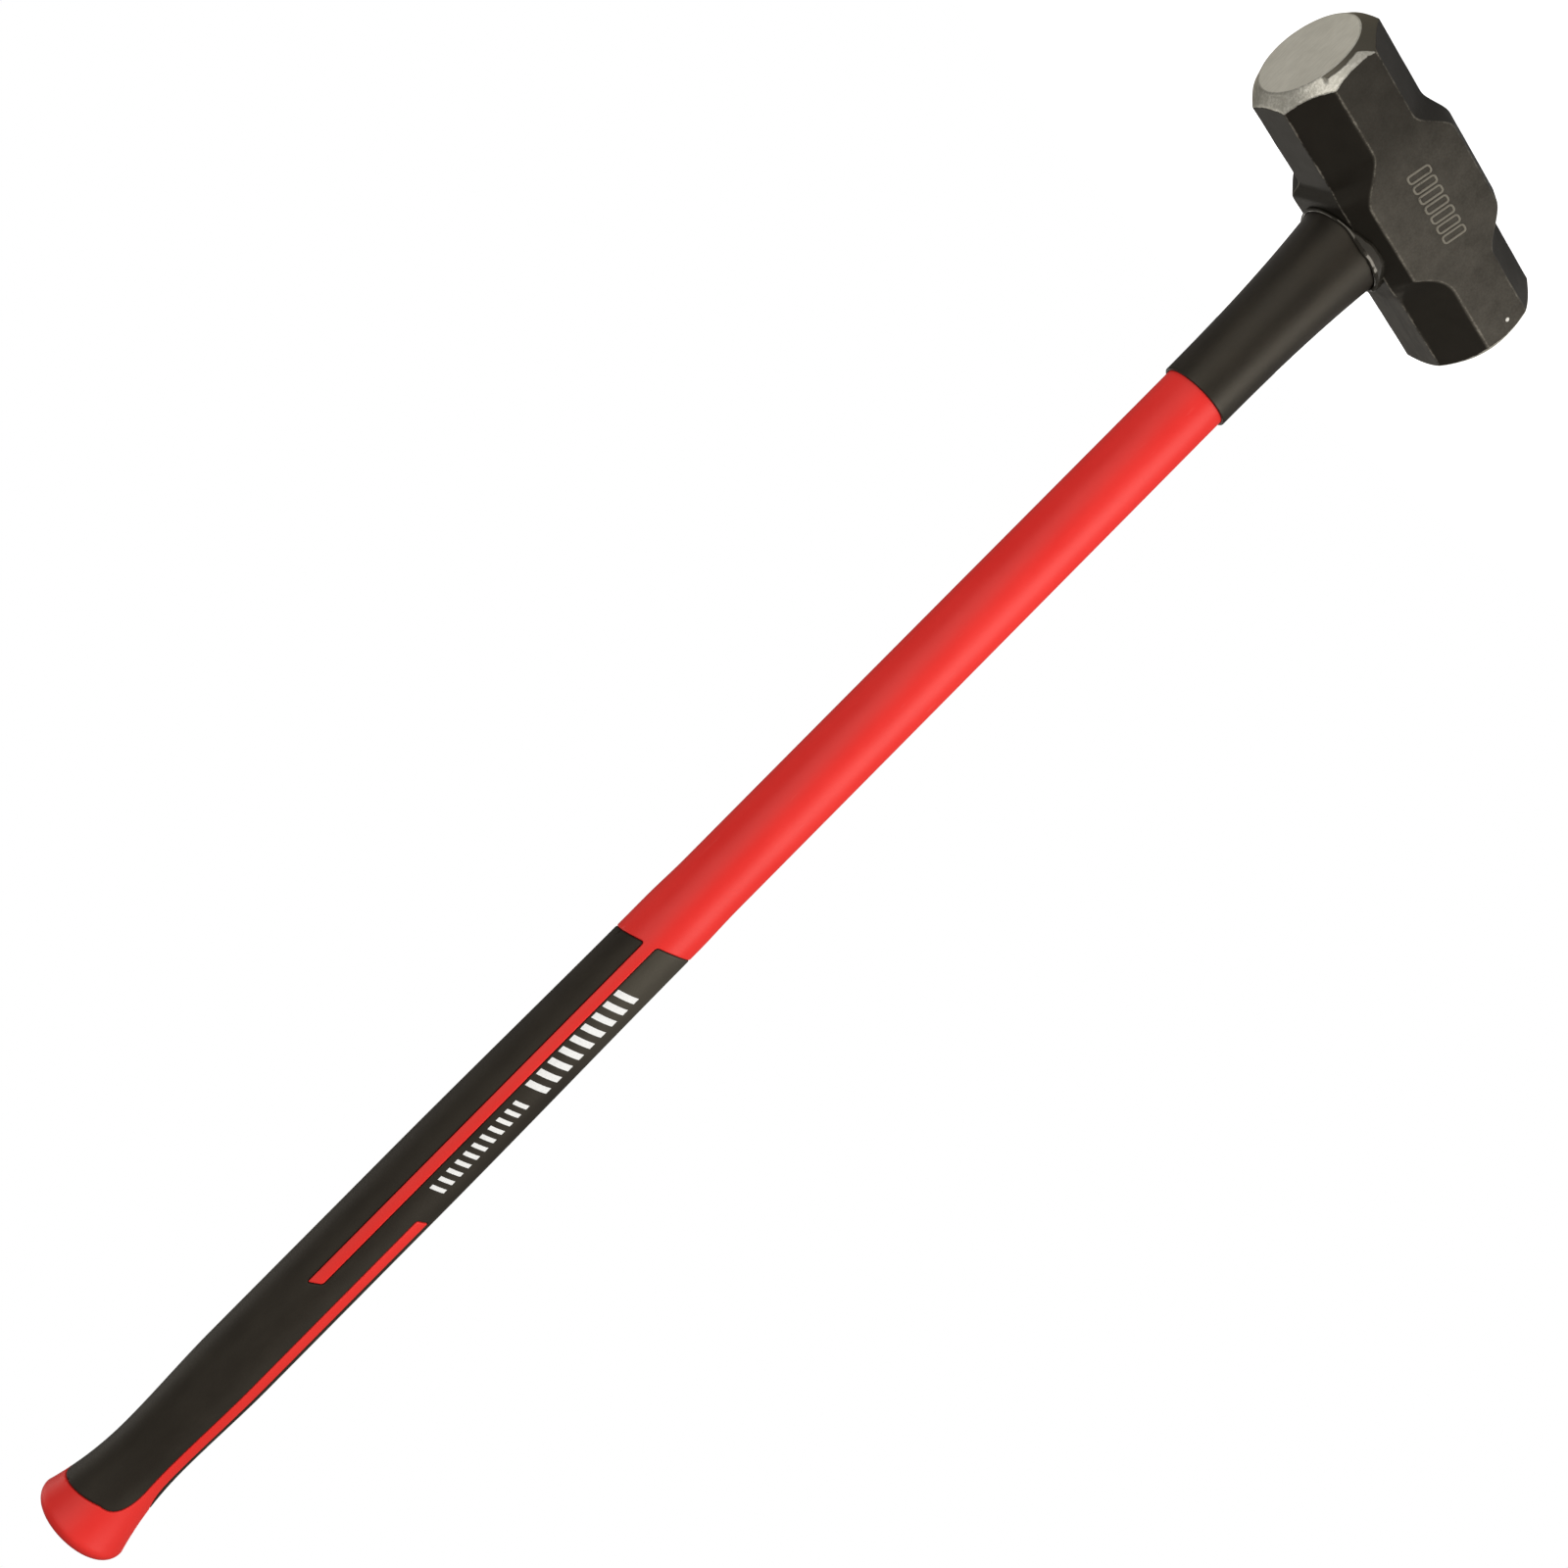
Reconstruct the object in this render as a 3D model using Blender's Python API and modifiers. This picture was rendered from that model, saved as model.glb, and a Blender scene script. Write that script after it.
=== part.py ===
"""Sledgehammer with a forged octagonal head and a bonded, two-colour fibreglass handle.

Frame: metres, +Z up. The hammer stands on its head. The boss over the eye rests on Z = 0, the
handle runs up along +Z to its butt, and the head lies along X, so both striking faces look along X.
Angles round the handle are measured from -Y toward +X.
"""
import math

import bmesh
import bpy
from mathutils import Matrix

MM = 0.001

# Fits
GAP = 0.3 * MM                    # between any two neighbouring pieces
CUT_OVERLAP = 4 * MM              # how far a cutter runs past what it cuts

# Head: an octagonal bar that swells into a boss round the eye
HEAD_LENGTH = 172 * MM
HEAD_WIDTH = 60 * MM              # across the octagon's flats
BOSS_SWELL = 3.6 * MM             # how far both boss flats stand over the octagon's flats
BOSS_SLOPE_WIDTH = 11 * MM        # sloping side of the boss, along Y, from a flat to a cheek
BOSS_SLOPE_HEIGHT = 6.9 * MM      # the same slope along Z
CHEEK_FULL = 22 * MM              # distance from the eye where the cheeks start to narrow
CHEEK_END = 43 * MM               # distance from the eye where the plain octagon starts
BOSS_FULL = 23 * MM
BOSS_END = 38 * MM
FACE_INSET = 5.1 * MM             # from an octagon flat in to the rim of the flat striking face
BEVEL_LENGTH = 6.1 * MM           # ground bevel, along X, to the octagon's corners
LOFT_STEPS = 8                    # sections along each swell

# Eye and the bond inside it
BOND_END_WALL = 7 * MM            # epoxy between the core and the eye's ends, along X
BOND_SIDE_WALL = 2.5 * MM         # epoxy between the core and the eye's sides, along Y
EYE_TAPER = 1.5 * MM              # how much wider the eye is on the resting side, each way
BOND_RECESS = 1 * MM              # the bond and the core stop this far inside the resting boss

# Fibreglass core
CORE_DIAMETER = 24 * MM
CORE_END_COVER = 14 * MM          # jacket left over the core's end at the butt

# Handle outline
OVERALL_LENGTH = 907.1 * MM
TUBE_DIAMETER_LOW = 33.6 * MM     # jacket by the overstrike sleeve
TUBE_DIAMETER_HIGH = 34.4 * MM    # jacket below the grip
GRIP_START_DIAMETER = 35.6 * MM
PALM_DIAMETER = 38 * MM
BELLY_DIAMETER = 38.2 * MM
NECK_DIAMETER = 35.4 * MM
BUTT_DIAMETER = 48 * MM
BUTT_EDGE = 5.5 * MM              # rounding of the butt's edge
BUTT_DOME = 1.2 * MM              # rise of the butt's end over its edge
FLARE_POWER = 2.1                 # how late the butt flares out

# Places along the handle, measured back from the butt's end
SHOULDER_FROM_BUTT = 421.5 * MM
GRIP_START_FROM_BUTT = 395.5 * MM
PALM_FROM_BUTT = 223.5 * MM
BELLY_FROM_BUTT = 108.5 * MM
NECK_FROM_BUTT = 53.5 * MM

# Overstrike sleeve
SLEEVE_LENGTH = 98.7 * MM         # from the boss flat to its lip
SLEEVE_LIP_WALL = 1.3 * MM        # thickness at the lip
SLEEVE_FLARE = 4.6 * MM           # how much the radius grows from the lip to the foot
SLEEVE_FLARE_POWER = 2.4          # how late the sleeve flares toward the boss
SLEEVE_SKIRT = 6 * MM             # how far the foot hangs down beside the boss flat

# Glue bead round the sleeve's foot
BEAD_DIAMETER = 2 * MM
BEAD_POINTS = 56

# Grip overmould: a band let into the jacket, with red stripes left standing in its slots
GRIP_THICKNESS = 2.2 * MM
GRIP_TOP_FROM_BUTT = 383 * MM
GRIP_RIM_FROM_BUTT = 23.5 * MM
GRIP_TOP_RISE = 6 * MM            # how far the slanted upper edge rises on one side
GRIP_RIM_RISE = 6 * MM            # the same for the lower edge
GRIP_SLANT_ANGLE = 34             # both edges cross their middle height at this angle, in degrees
LONG_STRIPE_ANGLE = 34.2
LONG_STRIPE_WIDTH = 6.5 * MM
LONG_STRIPE_FROM_BUTT = 165.1 * MM
LONG_STRIPE_SLANT = 4.4 * MM
SHORT_STRIPE_ANGLE = -22.6
SHORT_STRIPE_WIDTH = 8.3 * MM
SHORT_STRIPE_FROM_BUTT = 217.8 * MM
SHORT_STRIPE_SLANT = 1.4 * MM
RIM_CORNER_WIDTH = 11.5 * MM      # elliptical corners where a short stripe opens into the butt
RIM_CORNER_HEIGHT = 17 * MM
CORNER_STEPS = 8

ROUND_STEPS = 48                  # facets round the handle
FACE_STEPS = 64                   # facets round the striking faces
OUTLINE_STEPS = 5                 # rings between two stations of the handle outline

# Sizes and heights that follow from those above
BUTT_Z = OVERALL_LENGTH
OCTAGON_CORNER = HEAD_WIDTH / 2 / math.cos(math.radians(22.5))
OCTAGON_HALF_FLAT = HEAD_WIDTH / 2 * math.tan(math.radians(22.5))
BOSS_HEIGHT = HEAD_WIDTH + 2 * BOSS_SWELL
HEAD_MIDDLE_Z = BOSS_HEIGHT / 2
FLAT_HALF_WIDTH = HEAD_WIDTH / 2 - BOSS_SLOPE_WIDTH
CHEEK_HALF_HEIGHT = BOSS_HEIGHT / 2 - BOSS_SLOPE_HEIGHT
EYE_LENGTH = CORE_DIAMETER + 2 * BOND_END_WALL
EYE_WIDTH = CORE_DIAMETER + 2 * BOND_SIDE_WALL


def blend(fraction):
    """Ease from 0 to 1 with level ends."""
    t = min(max(fraction, 0.0), 1.0)
    return t * t * (3 - 2 * t)


# ---------------------------------------------------------------- scene set-up

for old in list(bpy.data.objects):
    bpy.data.objects.remove(old, do_unlink=True)

PARTS = bpy.data.collections.new("sledgehammer")
CUTTERS = bpy.data.collections.new("cutters")
for collection in (PARTS, CUTTERS):
    bpy.context.scene.collection.children.link(collection)


def material(name, colour, roughness, metallic=0.0):
    """A plain Principled material."""
    made = bpy.data.materials.new(name)
    made.use_nodes = True
    shader = made.node_tree.nodes["Principled BSDF"]
    shader.inputs["Base Color"].default_value = (*colour, 1)
    shader.inputs["Roughness"].default_value = roughness
    shader.inputs["Metallic"].default_value = metallic
    return made


def part_from(name, mesh, look):
    """A finished sub-part, smooth where it is round and sharp at its edges."""
    mesh.shade_smooth()
    mesh.set_sharp_from_angle(angle=math.radians(32))
    mesh.materials.append(look)
    made = bpy.data.objects.new(name, mesh)
    PARTS.objects.link(made)
    return made


def cutter_from(name, mesh):
    """A tool for Boolean cuts, left out of the finished object."""
    made = bpy.data.objects.new(name, mesh)
    made.hide_render = True
    made.display_type = "WIRE"
    CUTTERS.objects.link(made)
    return made


def boolean(target, tool, operation="DIFFERENCE"):
    """Cut, join or trim one object with another."""
    step = target.modifiers.new(f"{operation} {tool.name}", "BOOLEAN")
    step.operation = operation
    step.object = tool


# ---------------------------------------------------------------- shape helpers

def turned_mesh(name, profile, axis="Z", steps=ROUND_STEPS, closed=False):
    """Turn (radius, height) points round an axis; an open profile starts and ends on the axis."""
    made = bpy.data.meshes.new(name)
    if axis == "Z":
        points = [(radius, 0, height) for radius, height in profile]
    else:
        points = [(height, 0, radius) for radius, height in profile]
    edges = [(i, i + 1) for i in range(len(points) - 1)]
    if closed:
        edges.append((len(points) - 1, 0))
    made.from_pydata(points, edges, [])
    spinner = bpy.data.objects.new(name, made)
    bpy.context.scene.collection.objects.link(spinner)
    screw = spinner.modifiers.new("turn", "SCREW")
    screw.axis = axis
    screw.steps = steps
    screw.render_steps = steps
    screw.use_merge_vertices = True
    screw.merge_threshold = 0.00001
    turned = frozen_mesh(spinner)
    bpy.data.meshes.remove(made)
    return turned


def frozen_mesh(source):
    """The evaluated mesh of a helper object in world space, welded; the helper is removed."""
    bpy.context.view_layer.update()
    evaluated = source.evaluated_get(bpy.context.evaluated_depsgraph_get())
    frozen = bpy.data.meshes.new_from_object(evaluated)
    frozen.transform(source.matrix_world)
    bm = bmesh.new()
    bm.from_mesh(frozen)
    bmesh.ops.remove_doubles(bm, verts=bm.verts, dist=0.00001)
    bmesh.ops.recalc_face_normals(bm, faces=bm.faces)
    bm.to_mesh(frozen)
    bm.free()
    bpy.data.objects.remove(source, do_unlink=True)
    return frozen


def outline_slab(name, points, angle, reach):
    """A flat outline of (across, height) points, pushed outward from the handle's axis."""
    curve = bpy.data.curves.new(name, "CURVE")
    curve.dimensions = "2D"
    curve.fill_mode = "BOTH"
    curve.extrude = reach / 2
    spline = curve.splines.new("POLY")
    spline.points.add(len(points) - 1)
    for point, (across, height) in zip(spline.points, points):
        point.co = (across, height, 0, 1)
    spline.use_cyclic_u = True
    flat = bpy.data.objects.new(name, curve)
    bpy.context.scene.collection.objects.link(flat)
    upright = Matrix.Rotation(math.radians(90), 4, "X")
    outward = Matrix.Translation((0, -reach / 2, 0))
    flat.matrix_world = Matrix.Rotation(math.radians(angle), 4, "Z") @ outward @ upright
    return cutter_from(name, frozen_mesh(flat))


def oval_plug(name, length, width, taper, low, high):
    """An oval plug along Z, wider by the taper at its low end."""
    bm = bmesh.new()
    bmesh.ops.create_cone(bm, cap_ends=True, segments=ROUND_STEPS, radius1=0.5, radius2=0.5,
                          depth=high - low)
    for vert in bm.verts:
        grow = taper if vert.co.z < 0 else 0.0
        vert.co.x *= length + grow
        vert.co.y *= width + grow
        vert.co.z += (low + high) / 2
    mesh = bpy.data.meshes.new(name)
    bm.to_mesh(mesh)
    bm.free()
    return mesh


# ---------------------------------------------------------------- head

def head_section(x, grow):
    """The eight corners of the head at one place along X, as (y, z) about the head's middle."""
    cheek = blend((CHEEK_END - abs(x)) / (CHEEK_END - CHEEK_FULL))
    boss = blend((BOSS_END - abs(x)) / (BOSS_END - BOSS_FULL))
    side = HEAD_WIDTH / 2 + grow
    cheek_half = OCTAGON_HALF_FLAT + (CHEEK_HALF_HEIGHT - OCTAGON_HALF_FLAT) * cheek + grow / 2
    flat_half = OCTAGON_HALF_FLAT + (FLAT_HALF_WIDTH - OCTAGON_HALF_FLAT) * boss + grow / 2
    top = HEAD_WIDTH / 2 + BOSS_SWELL * boss + grow
    quarter = [(side, cheek_half), (flat_half, top)]
    upper = quarter + [(-y, z) for y, z in reversed(quarter)]
    return upper + [(-y, -z) for y, z in upper]


def head_stations():
    """Places along X where the head gets a section, closer together along the swells."""
    inner = min(CHEEK_FULL, BOSS_FULL)
    outer = max(CHEEK_END, BOSS_END)
    swell = [inner + (outer - inner) * i / LOFT_STEPS for i in range(LOFT_STEPS + 1)]
    half = swell + [HEAD_LENGTH / 2]
    return [-x for x in reversed(half)] + half


def head_bar(name, grow=0.0):
    """The head before its ends are ground, lofted through its sections."""
    bm = bmesh.new()
    rings = []
    for x in head_stations():
        end = math.copysign(grow, x) if abs(x) >= HEAD_LENGTH / 2 else 0.0
        rings.append([bm.verts.new((x + end, y, z + HEAD_MIDDLE_Z)) for y, z in head_section(x, grow)])
    for ring, following in zip(rings, rings[1:]):
        for i in range(8):
            j = (i + 1) % 8
            bm.faces.new((ring[i], ring[j], following[j], following[i]))
    bm.faces.new(reversed(rings[0]))
    bm.faces.new(rings[-1])
    bmesh.ops.recalc_face_normals(bm, faces=bm.faces)
    mesh = bpy.data.meshes.new(name)
    bm.to_mesh(mesh)
    bm.free()
    return mesh


def bevel_envelope():
    """The turned shape about X that leaves a round face and a ground bevel at both ends."""
    face = HEAD_WIDTH / 2 - FACE_INSET
    slope = (OCTAGON_CORNER - face) / BEVEL_LENGTH
    reach = OCTAGON_CORNER + BOSS_HEIGHT / 2
    depth = (reach - face) / slope
    half = HEAD_LENGTH / 2
    front = [(0, half), (face, half), (reach, half - depth)]
    profile = front + [(radius, -x) for radius, x in reversed(front)]
    mesh = turned_mesh("bevel_envelope", profile, axis="X", steps=FACE_STEPS)
    mesh.transform(Matrix.Translation((0, 0, HEAD_MIDDLE_Z)))
    return cutter_from("bevel_envelope", mesh)


def make_head():
    look = material("forged_black_steel", (0.018, 0.017, 0.015), 0.5, 0.3)
    head = part_from("hammer_head", head_bar("hammer_head"), look)
    boolean(head, bevel_envelope(), "INTERSECT")
    eye = oval_plug("eye_cutter", EYE_LENGTH, EYE_WIDTH, EYE_TAPER, 0, BOSS_HEIGHT)
    stretch = 1 + 2 * CUT_OVERLAP / BOSS_HEIGHT
    eye.transform(Matrix.Translation((0, 0, HEAD_MIDDLE_Z)) @ Matrix.Diagonal((1, 1, stretch, 1))
                  @ Matrix.Translation((0, 0, -HEAD_MIDDLE_Z)))
    boolean(head, cutter_from("eye_cutter", eye))


# ---------------------------------------------------------------- core and bond

def round_bar(name, diameter, low, high):
    """A plain round bar along the handle's axis."""
    radius = diameter / 2
    return turned_mesh(name, [(0, high), (radius, high), (radius, low), (0, low)])


def make_core_and_bond():
    core_look = material("fibreglass", (0.62, 0.6, 0.46), 0.35)
    core_mesh = round_bar("fibreglass_core", CORE_DIAMETER, BOND_RECESS, BUTT_Z - CORE_END_COVER)
    part_from("fibreglass_core", core_mesh, core_look)
    bond_look = material("epoxy", (0.03, 0.03, 0.028), 0.15)
    bond_mesh = oval_plug("eye_epoxy", EYE_LENGTH - 2 * GAP, EYE_WIDTH - 2 * GAP, EYE_TAPER,
                          BOND_RECESS, BOSS_HEIGHT)
    bond = part_from("eye_epoxy", bond_mesh, bond_look)
    hole = round_bar("bond_hole", CORE_DIAMETER + 2 * GAP, BOND_RECESS - CUT_OVERLAP, BOSS_HEIGHT + CUT_OVERLAP)
    boolean(bond, cutter_from("bond_hole", hole))


# ---------------------------------------------------------------- handle outline

def handle_stations():
    """(height, radius) of the outline's stations, from the boss up to the neck."""
    return [
        (BOSS_HEIGHT + GAP, TUBE_DIAMETER_LOW / 2),
        (BUTT_Z - SHOULDER_FROM_BUTT, TUBE_DIAMETER_HIGH / 2),
        (BUTT_Z - GRIP_START_FROM_BUTT, GRIP_START_DIAMETER / 2),
        (BUTT_Z - PALM_FROM_BUTT, PALM_DIAMETER / 2),
        (BUTT_Z - BELLY_FROM_BUTT, BELLY_DIAMETER / 2),
        (BUTT_Z - NECK_FROM_BUTT, NECK_DIAMETER / 2),
    ]


def handle_radius(z):
    """Outer radius of the handle at a height, up to where the butt's edge starts to round."""
    stations = handle_stations()
    neck_z, neck = stations[-1]
    if z > neck_z:
        edge_z = BUTT_Z - BUTT_DOME - BUTT_EDGE
        flare = BUTT_DIAMETER / 2 - neck
        return neck + flare * min((z - neck_z) / (edge_z - neck_z), 1.0) ** FLARE_POWER
    for (low_z, low), (high_z, high) in zip(stations, stations[1:]):
        if z <= high_z:
            return low + (high - low) * blend((z - low_z) / (high_z - low_z))
    return neck


def outline_heights(low, high):
    """Ring heights between two heights, with rings at every station between them."""
    stops = [z for z, _ in handle_stations() if low < z < high]
    stops = [low] + stops + [high]
    heights = []
    for start, end in zip(stops, stops[1:]):
        heights += [start + (end - start) * i / OUTLINE_STEPS for i in range(OUTLINE_STEPS)]
    return heights + [high]


# ---------------------------------------------------------------- grip edges and stripes

def slanted_height(middle, rise, angle):
    """Height of a slanted edge at an angle round the handle."""
    return middle + rise * math.sin(math.radians(angle - GRIP_SLANT_ANGLE))


def slanted_block(name, middle, rise, above):
    """Everything above, or below, a plane that is slanted across the handle."""
    size = 4 * BUTT_DIAMETER
    bm = bmesh.new()
    bmesh.ops.create_cube(bm, size=size)
    mesh = bpy.data.meshes.new(name)
    bm.to_mesh(mesh)
    bm.free()
    side = size / 2 if above else -size / 2
    tilt = Matrix.Rotation(-math.atan2(rise, GRIP_START_DIAMETER / 2), 4, "Y")
    turn = Matrix.Rotation(math.radians(GRIP_SLANT_ANGLE), 4, "Z")
    mesh.transform(Matrix.Translation((0, 0, middle)) @ turn @ tilt @ Matrix.Translation((0, 0, side)))
    return cutter_from(name, mesh)


def long_stripe(name, angle, inset):
    """A stripe that is open at the grip's upper edge and ends on a slant."""
    half = LONG_STRIPE_WIDTH / 2 - inset
    end = BUTT_Z - LONG_STRIPE_FROM_BUTT - inset
    start = BUTT_Z - GRIP_TOP_FROM_BUTT - 4 * GRIP_TOP_RISE
    lean = LONG_STRIPE_SLANT / 2
    points = [(-half, start), (half, start), (half, end + lean), (-half, end - lean)]
    return outline_slab(name, points, angle, BUTT_DIAMETER)


def short_stripe(name, angle, inset):
    """A stripe that starts on a slant and opens with elliptical corners into the butt."""
    half = SHORT_STRIPE_WIDTH / 2 - inset
    start = BUTT_Z - SHORT_STRIPE_FROM_BUTT + inset
    lean = SHORT_STRIPE_SLANT / 2
    points = []
    rim_radius = handle_radius(BUTT_Z - GRIP_RIM_FROM_BUTT)
    spread = math.degrees(math.asin((half + RIM_CORNER_WIDTH) / rim_radius))
    for side in (1, -1):
        rim = slanted_height(BUTT_Z - GRIP_RIM_FROM_BUTT, GRIP_RIM_RISE, angle + side * spread) + inset
        arc = [(side * half, start + side * lean)]
        for i in range(CORNER_STEPS + 1):
            turn = math.radians(90 * i / CORNER_STEPS)
            across = half + RIM_CORNER_WIDTH * (1 - math.cos(turn))
            arc.append((side * across, rim - RIM_CORNER_HEIGHT * (1 - math.sin(turn))))
        arc.append((side * (half + RIM_CORNER_WIDTH), BUTT_Z + CUT_OVERLAP))
        points += arc if side > 0 else list(reversed(arc))
    return outline_slab(name, points, angle, BUTT_DIAMETER)


def stripes(prefix, inset):
    """Both pairs of stripes, each pair on opposite sides of the handle."""
    made = []
    for side, turn in (("front", 0), ("back", 180)):
        made.append(long_stripe(f"{prefix}_long_{side}", LONG_STRIPE_ANGLE + turn, inset))
        made.append(short_stripe(f"{prefix}_short_{side}", SHORT_STRIPE_ANGLE + turn, inset))
    return made


def grip_band(name, depth, overlap):
    """A turned band that follows the handle outline, from a depth under it to an overlap over it."""
    low = BUTT_Z - GRIP_TOP_FROM_BUTT - 2 * GRIP_TOP_RISE
    high = BUTT_Z - GRIP_RIM_FROM_BUTT + 2 * GRIP_RIM_RISE
    heights = outline_heights(low, high)
    outer = [(handle_radius(z) + overlap, z) for z in reversed(heights)]
    inner = [(handle_radius(z) - depth, z) for z in heights]
    return turned_mesh(name, outer + inner, closed=True)


def trim_band(band, prefix, widen, tools):
    """Slant both edges of a band and cut its stripes."""
    top = slanted_block(f"{prefix}_top", BUTT_Z - GRIP_TOP_FROM_BUTT - widen, GRIP_TOP_RISE, False)
    rim = slanted_block(f"{prefix}_rim", BUTT_Z - GRIP_RIM_FROM_BUTT + widen, GRIP_RIM_RISE, True)
    for tool in [top, rim] + tools:
        boolean(band, tool)


# ---------------------------------------------------------------- handle pieces

def make_jacket():
    look = material("red_polypropylene", (0.78, 0.045, 0.03), 0.38)
    edge_z = BUTT_Z - BUTT_DOME - BUTT_EDGE
    edge_radius = BUTT_DIAMETER / 2 - BUTT_EDGE
    profile = [(0, BUTT_Z)]
    for i in range(CORNER_STEPS):
        turn = math.radians(90 * i / CORNER_STEPS)
        profile.append((edge_radius + BUTT_EDGE * math.sin(turn), edge_z + BUTT_EDGE * math.cos(turn)))
    profile += [(handle_radius(z), z) for z in reversed(outline_heights(BOSS_HEIGHT + GAP, edge_z))]
    profile.append((0, BOSS_HEIGHT + GAP))
    jacket = part_from("handle_jacket", turned_mesh("handle_jacket", profile), look)
    bore = round_bar("core_bore", CORE_DIAMETER + 2 * GAP, BOSS_HEIGHT - CUT_OVERLAP,
                     BUTT_Z - CORE_END_COVER + GAP)
    boolean(jacket, cutter_from("core_bore", bore))
    pocket = cutter_from("grip_pocket", grip_band("grip_pocket", GRIP_THICKNESS + GAP, CUT_OVERLAP))
    trim_band(pocket, "pocket", GAP, stripes("pocket", GAP))
    boolean(jacket, pocket)


def make_grip():
    look = material("black_soft_grip", (0.022, 0.02, 0.018), 0.6)
    grip = part_from("grip_overmould", grip_band("grip_overmould", GRIP_THICKNESS, 0.0), look)
    trim_band(grip, "grip", 0.0, stripes("grip", 0.0))


def sleeve_radius(fraction):
    """Outer radius of the sleeve, from its lip at 0 to its foot at 1."""
    lip = handle_radius(BOSS_HEIGHT + SLEEVE_LENGTH) + GAP + SLEEVE_LIP_WALL
    return lip + SLEEVE_FLARE * fraction ** SLEEVE_FLARE_POWER


def make_sleeve():
    look = material("black_sleeve", (0.026, 0.024, 0.02), 0.45)
    low = BOSS_HEIGHT - SLEEVE_SKIRT
    lip = BOSS_HEIGHT + SLEEVE_LENGTH
    fractions = [i / (2 * OUTLINE_STEPS) for i in range(2 * OUTLINE_STEPS + 1)]
    outer = [(sleeve_radius(fraction), lip - SLEEVE_LENGTH * fraction) for fraction in fractions]
    outer.append((sleeve_radius(1), low))
    inner_heights = [low] + outline_heights(BOSS_HEIGHT + GAP, lip)
    inner = [(handle_radius(z) + GAP, z) for z in inner_heights]
    sleeve = part_from("overstrike_sleeve", turned_mesh("overstrike_sleeve", outer + inner, closed=True), look)
    boolean(sleeve, cutter_from("head_clearance", head_bar("head_clearance", GAP)))


def make_bead():
    look = material("glue", (0.03, 0.03, 0.028), 0.12)
    radius = BEAD_DIAMETER / 2
    ring = sleeve_radius(1) + radius + GAP
    fall = BOSS_SLOPE_HEIGHT / BOSS_SLOPE_WIDTH
    lift = (radius + GAP) * math.hypot(1, fall)
    curve = bpy.data.curves.new("glue_bead", "CURVE")
    curve.dimensions = "3D"
    curve.bevel_depth = radius
    curve.bevel_resolution = 2
    spline = curve.splines.new("POLY")
    spline.points.add(BEAD_POINTS - 1)
    for i, point in enumerate(spline.points):
        turn = math.tau * i / BEAD_POINTS
        x = ring * math.cos(turn)
        y = ring * math.sin(turn)
        drop = max(abs(y) - FLAT_HALF_WIDTH, 0.0) * fall
        point.co = (x, y, BOSS_HEIGHT - drop + lift, 1)
    spline.use_cyclic_u = True
    bead = bpy.data.objects.new("glue_bead_curve", curve)
    bpy.context.scene.collection.objects.link(bead)
    part_from("glue_bead", frozen_mesh(bead), look)


make_head()
make_core_and_bond()
make_jacket()
make_grip()
make_sleeve()
make_bead()
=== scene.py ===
# A long-handled sledgehammer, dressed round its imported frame. Metres, +Z up: the hammer stands on
# its head, the handle runs up to its butt, the head lies along X. Angles round the handle are
# measured from -Y toward +X.
import math

import bmesh
import bpy
import numpy as np
from mathutils import Matrix, Vector, geometry, noise


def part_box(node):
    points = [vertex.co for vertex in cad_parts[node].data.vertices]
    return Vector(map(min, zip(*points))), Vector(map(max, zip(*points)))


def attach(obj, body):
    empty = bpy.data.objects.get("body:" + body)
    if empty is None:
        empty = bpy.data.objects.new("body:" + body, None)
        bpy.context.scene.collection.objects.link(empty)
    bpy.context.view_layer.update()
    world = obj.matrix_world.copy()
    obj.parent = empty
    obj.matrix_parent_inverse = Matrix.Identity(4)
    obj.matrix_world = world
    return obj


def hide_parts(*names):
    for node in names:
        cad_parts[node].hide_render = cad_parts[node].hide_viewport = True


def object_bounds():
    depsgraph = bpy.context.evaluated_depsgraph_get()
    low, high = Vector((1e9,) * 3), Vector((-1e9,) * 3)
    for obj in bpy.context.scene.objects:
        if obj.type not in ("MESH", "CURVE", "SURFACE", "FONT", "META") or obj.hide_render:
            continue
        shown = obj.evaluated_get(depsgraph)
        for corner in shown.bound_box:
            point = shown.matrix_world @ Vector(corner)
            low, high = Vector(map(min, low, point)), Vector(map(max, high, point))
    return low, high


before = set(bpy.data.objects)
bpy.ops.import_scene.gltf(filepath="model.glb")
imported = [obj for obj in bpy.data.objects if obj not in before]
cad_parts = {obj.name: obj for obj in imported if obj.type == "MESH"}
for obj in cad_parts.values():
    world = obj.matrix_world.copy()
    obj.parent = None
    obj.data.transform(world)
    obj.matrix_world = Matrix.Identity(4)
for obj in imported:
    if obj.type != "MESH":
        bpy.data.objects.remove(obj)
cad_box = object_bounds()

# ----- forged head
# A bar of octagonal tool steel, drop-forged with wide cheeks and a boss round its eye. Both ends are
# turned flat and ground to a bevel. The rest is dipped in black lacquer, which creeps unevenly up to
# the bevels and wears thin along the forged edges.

MM = 0.001
head_low, head_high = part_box("hammer_head")
HALF_LENGTH = head_high.x
HALF_WIDTH = head_high.y
BOSS_HALF = (head_high.z - head_low.z) / 2
HEAD_MIDDLE = (head_high.z + head_low.z) / 2
BOSS_SLOPE_WIDTH = 11 * MM
BOSS_SLOPE_HEIGHT = 6.9 * MM
OCTAGON_HALF_FLAT = HALF_WIDTH * math.tan(math.radians(22.5))
FLAT_HALF = HALF_WIDTH - BOSS_SLOPE_WIDTH
CHEEK_HALF = BOSS_HALF - BOSS_SLOPE_HEIGHT
CHEEK_FULL = 22 * MM  # from the eye to where the cheeks start to narrow
CHEEK_END = 43 * MM
BOSS_FULL = 23 * MM
BOSS_END = 38 * MM
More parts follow.
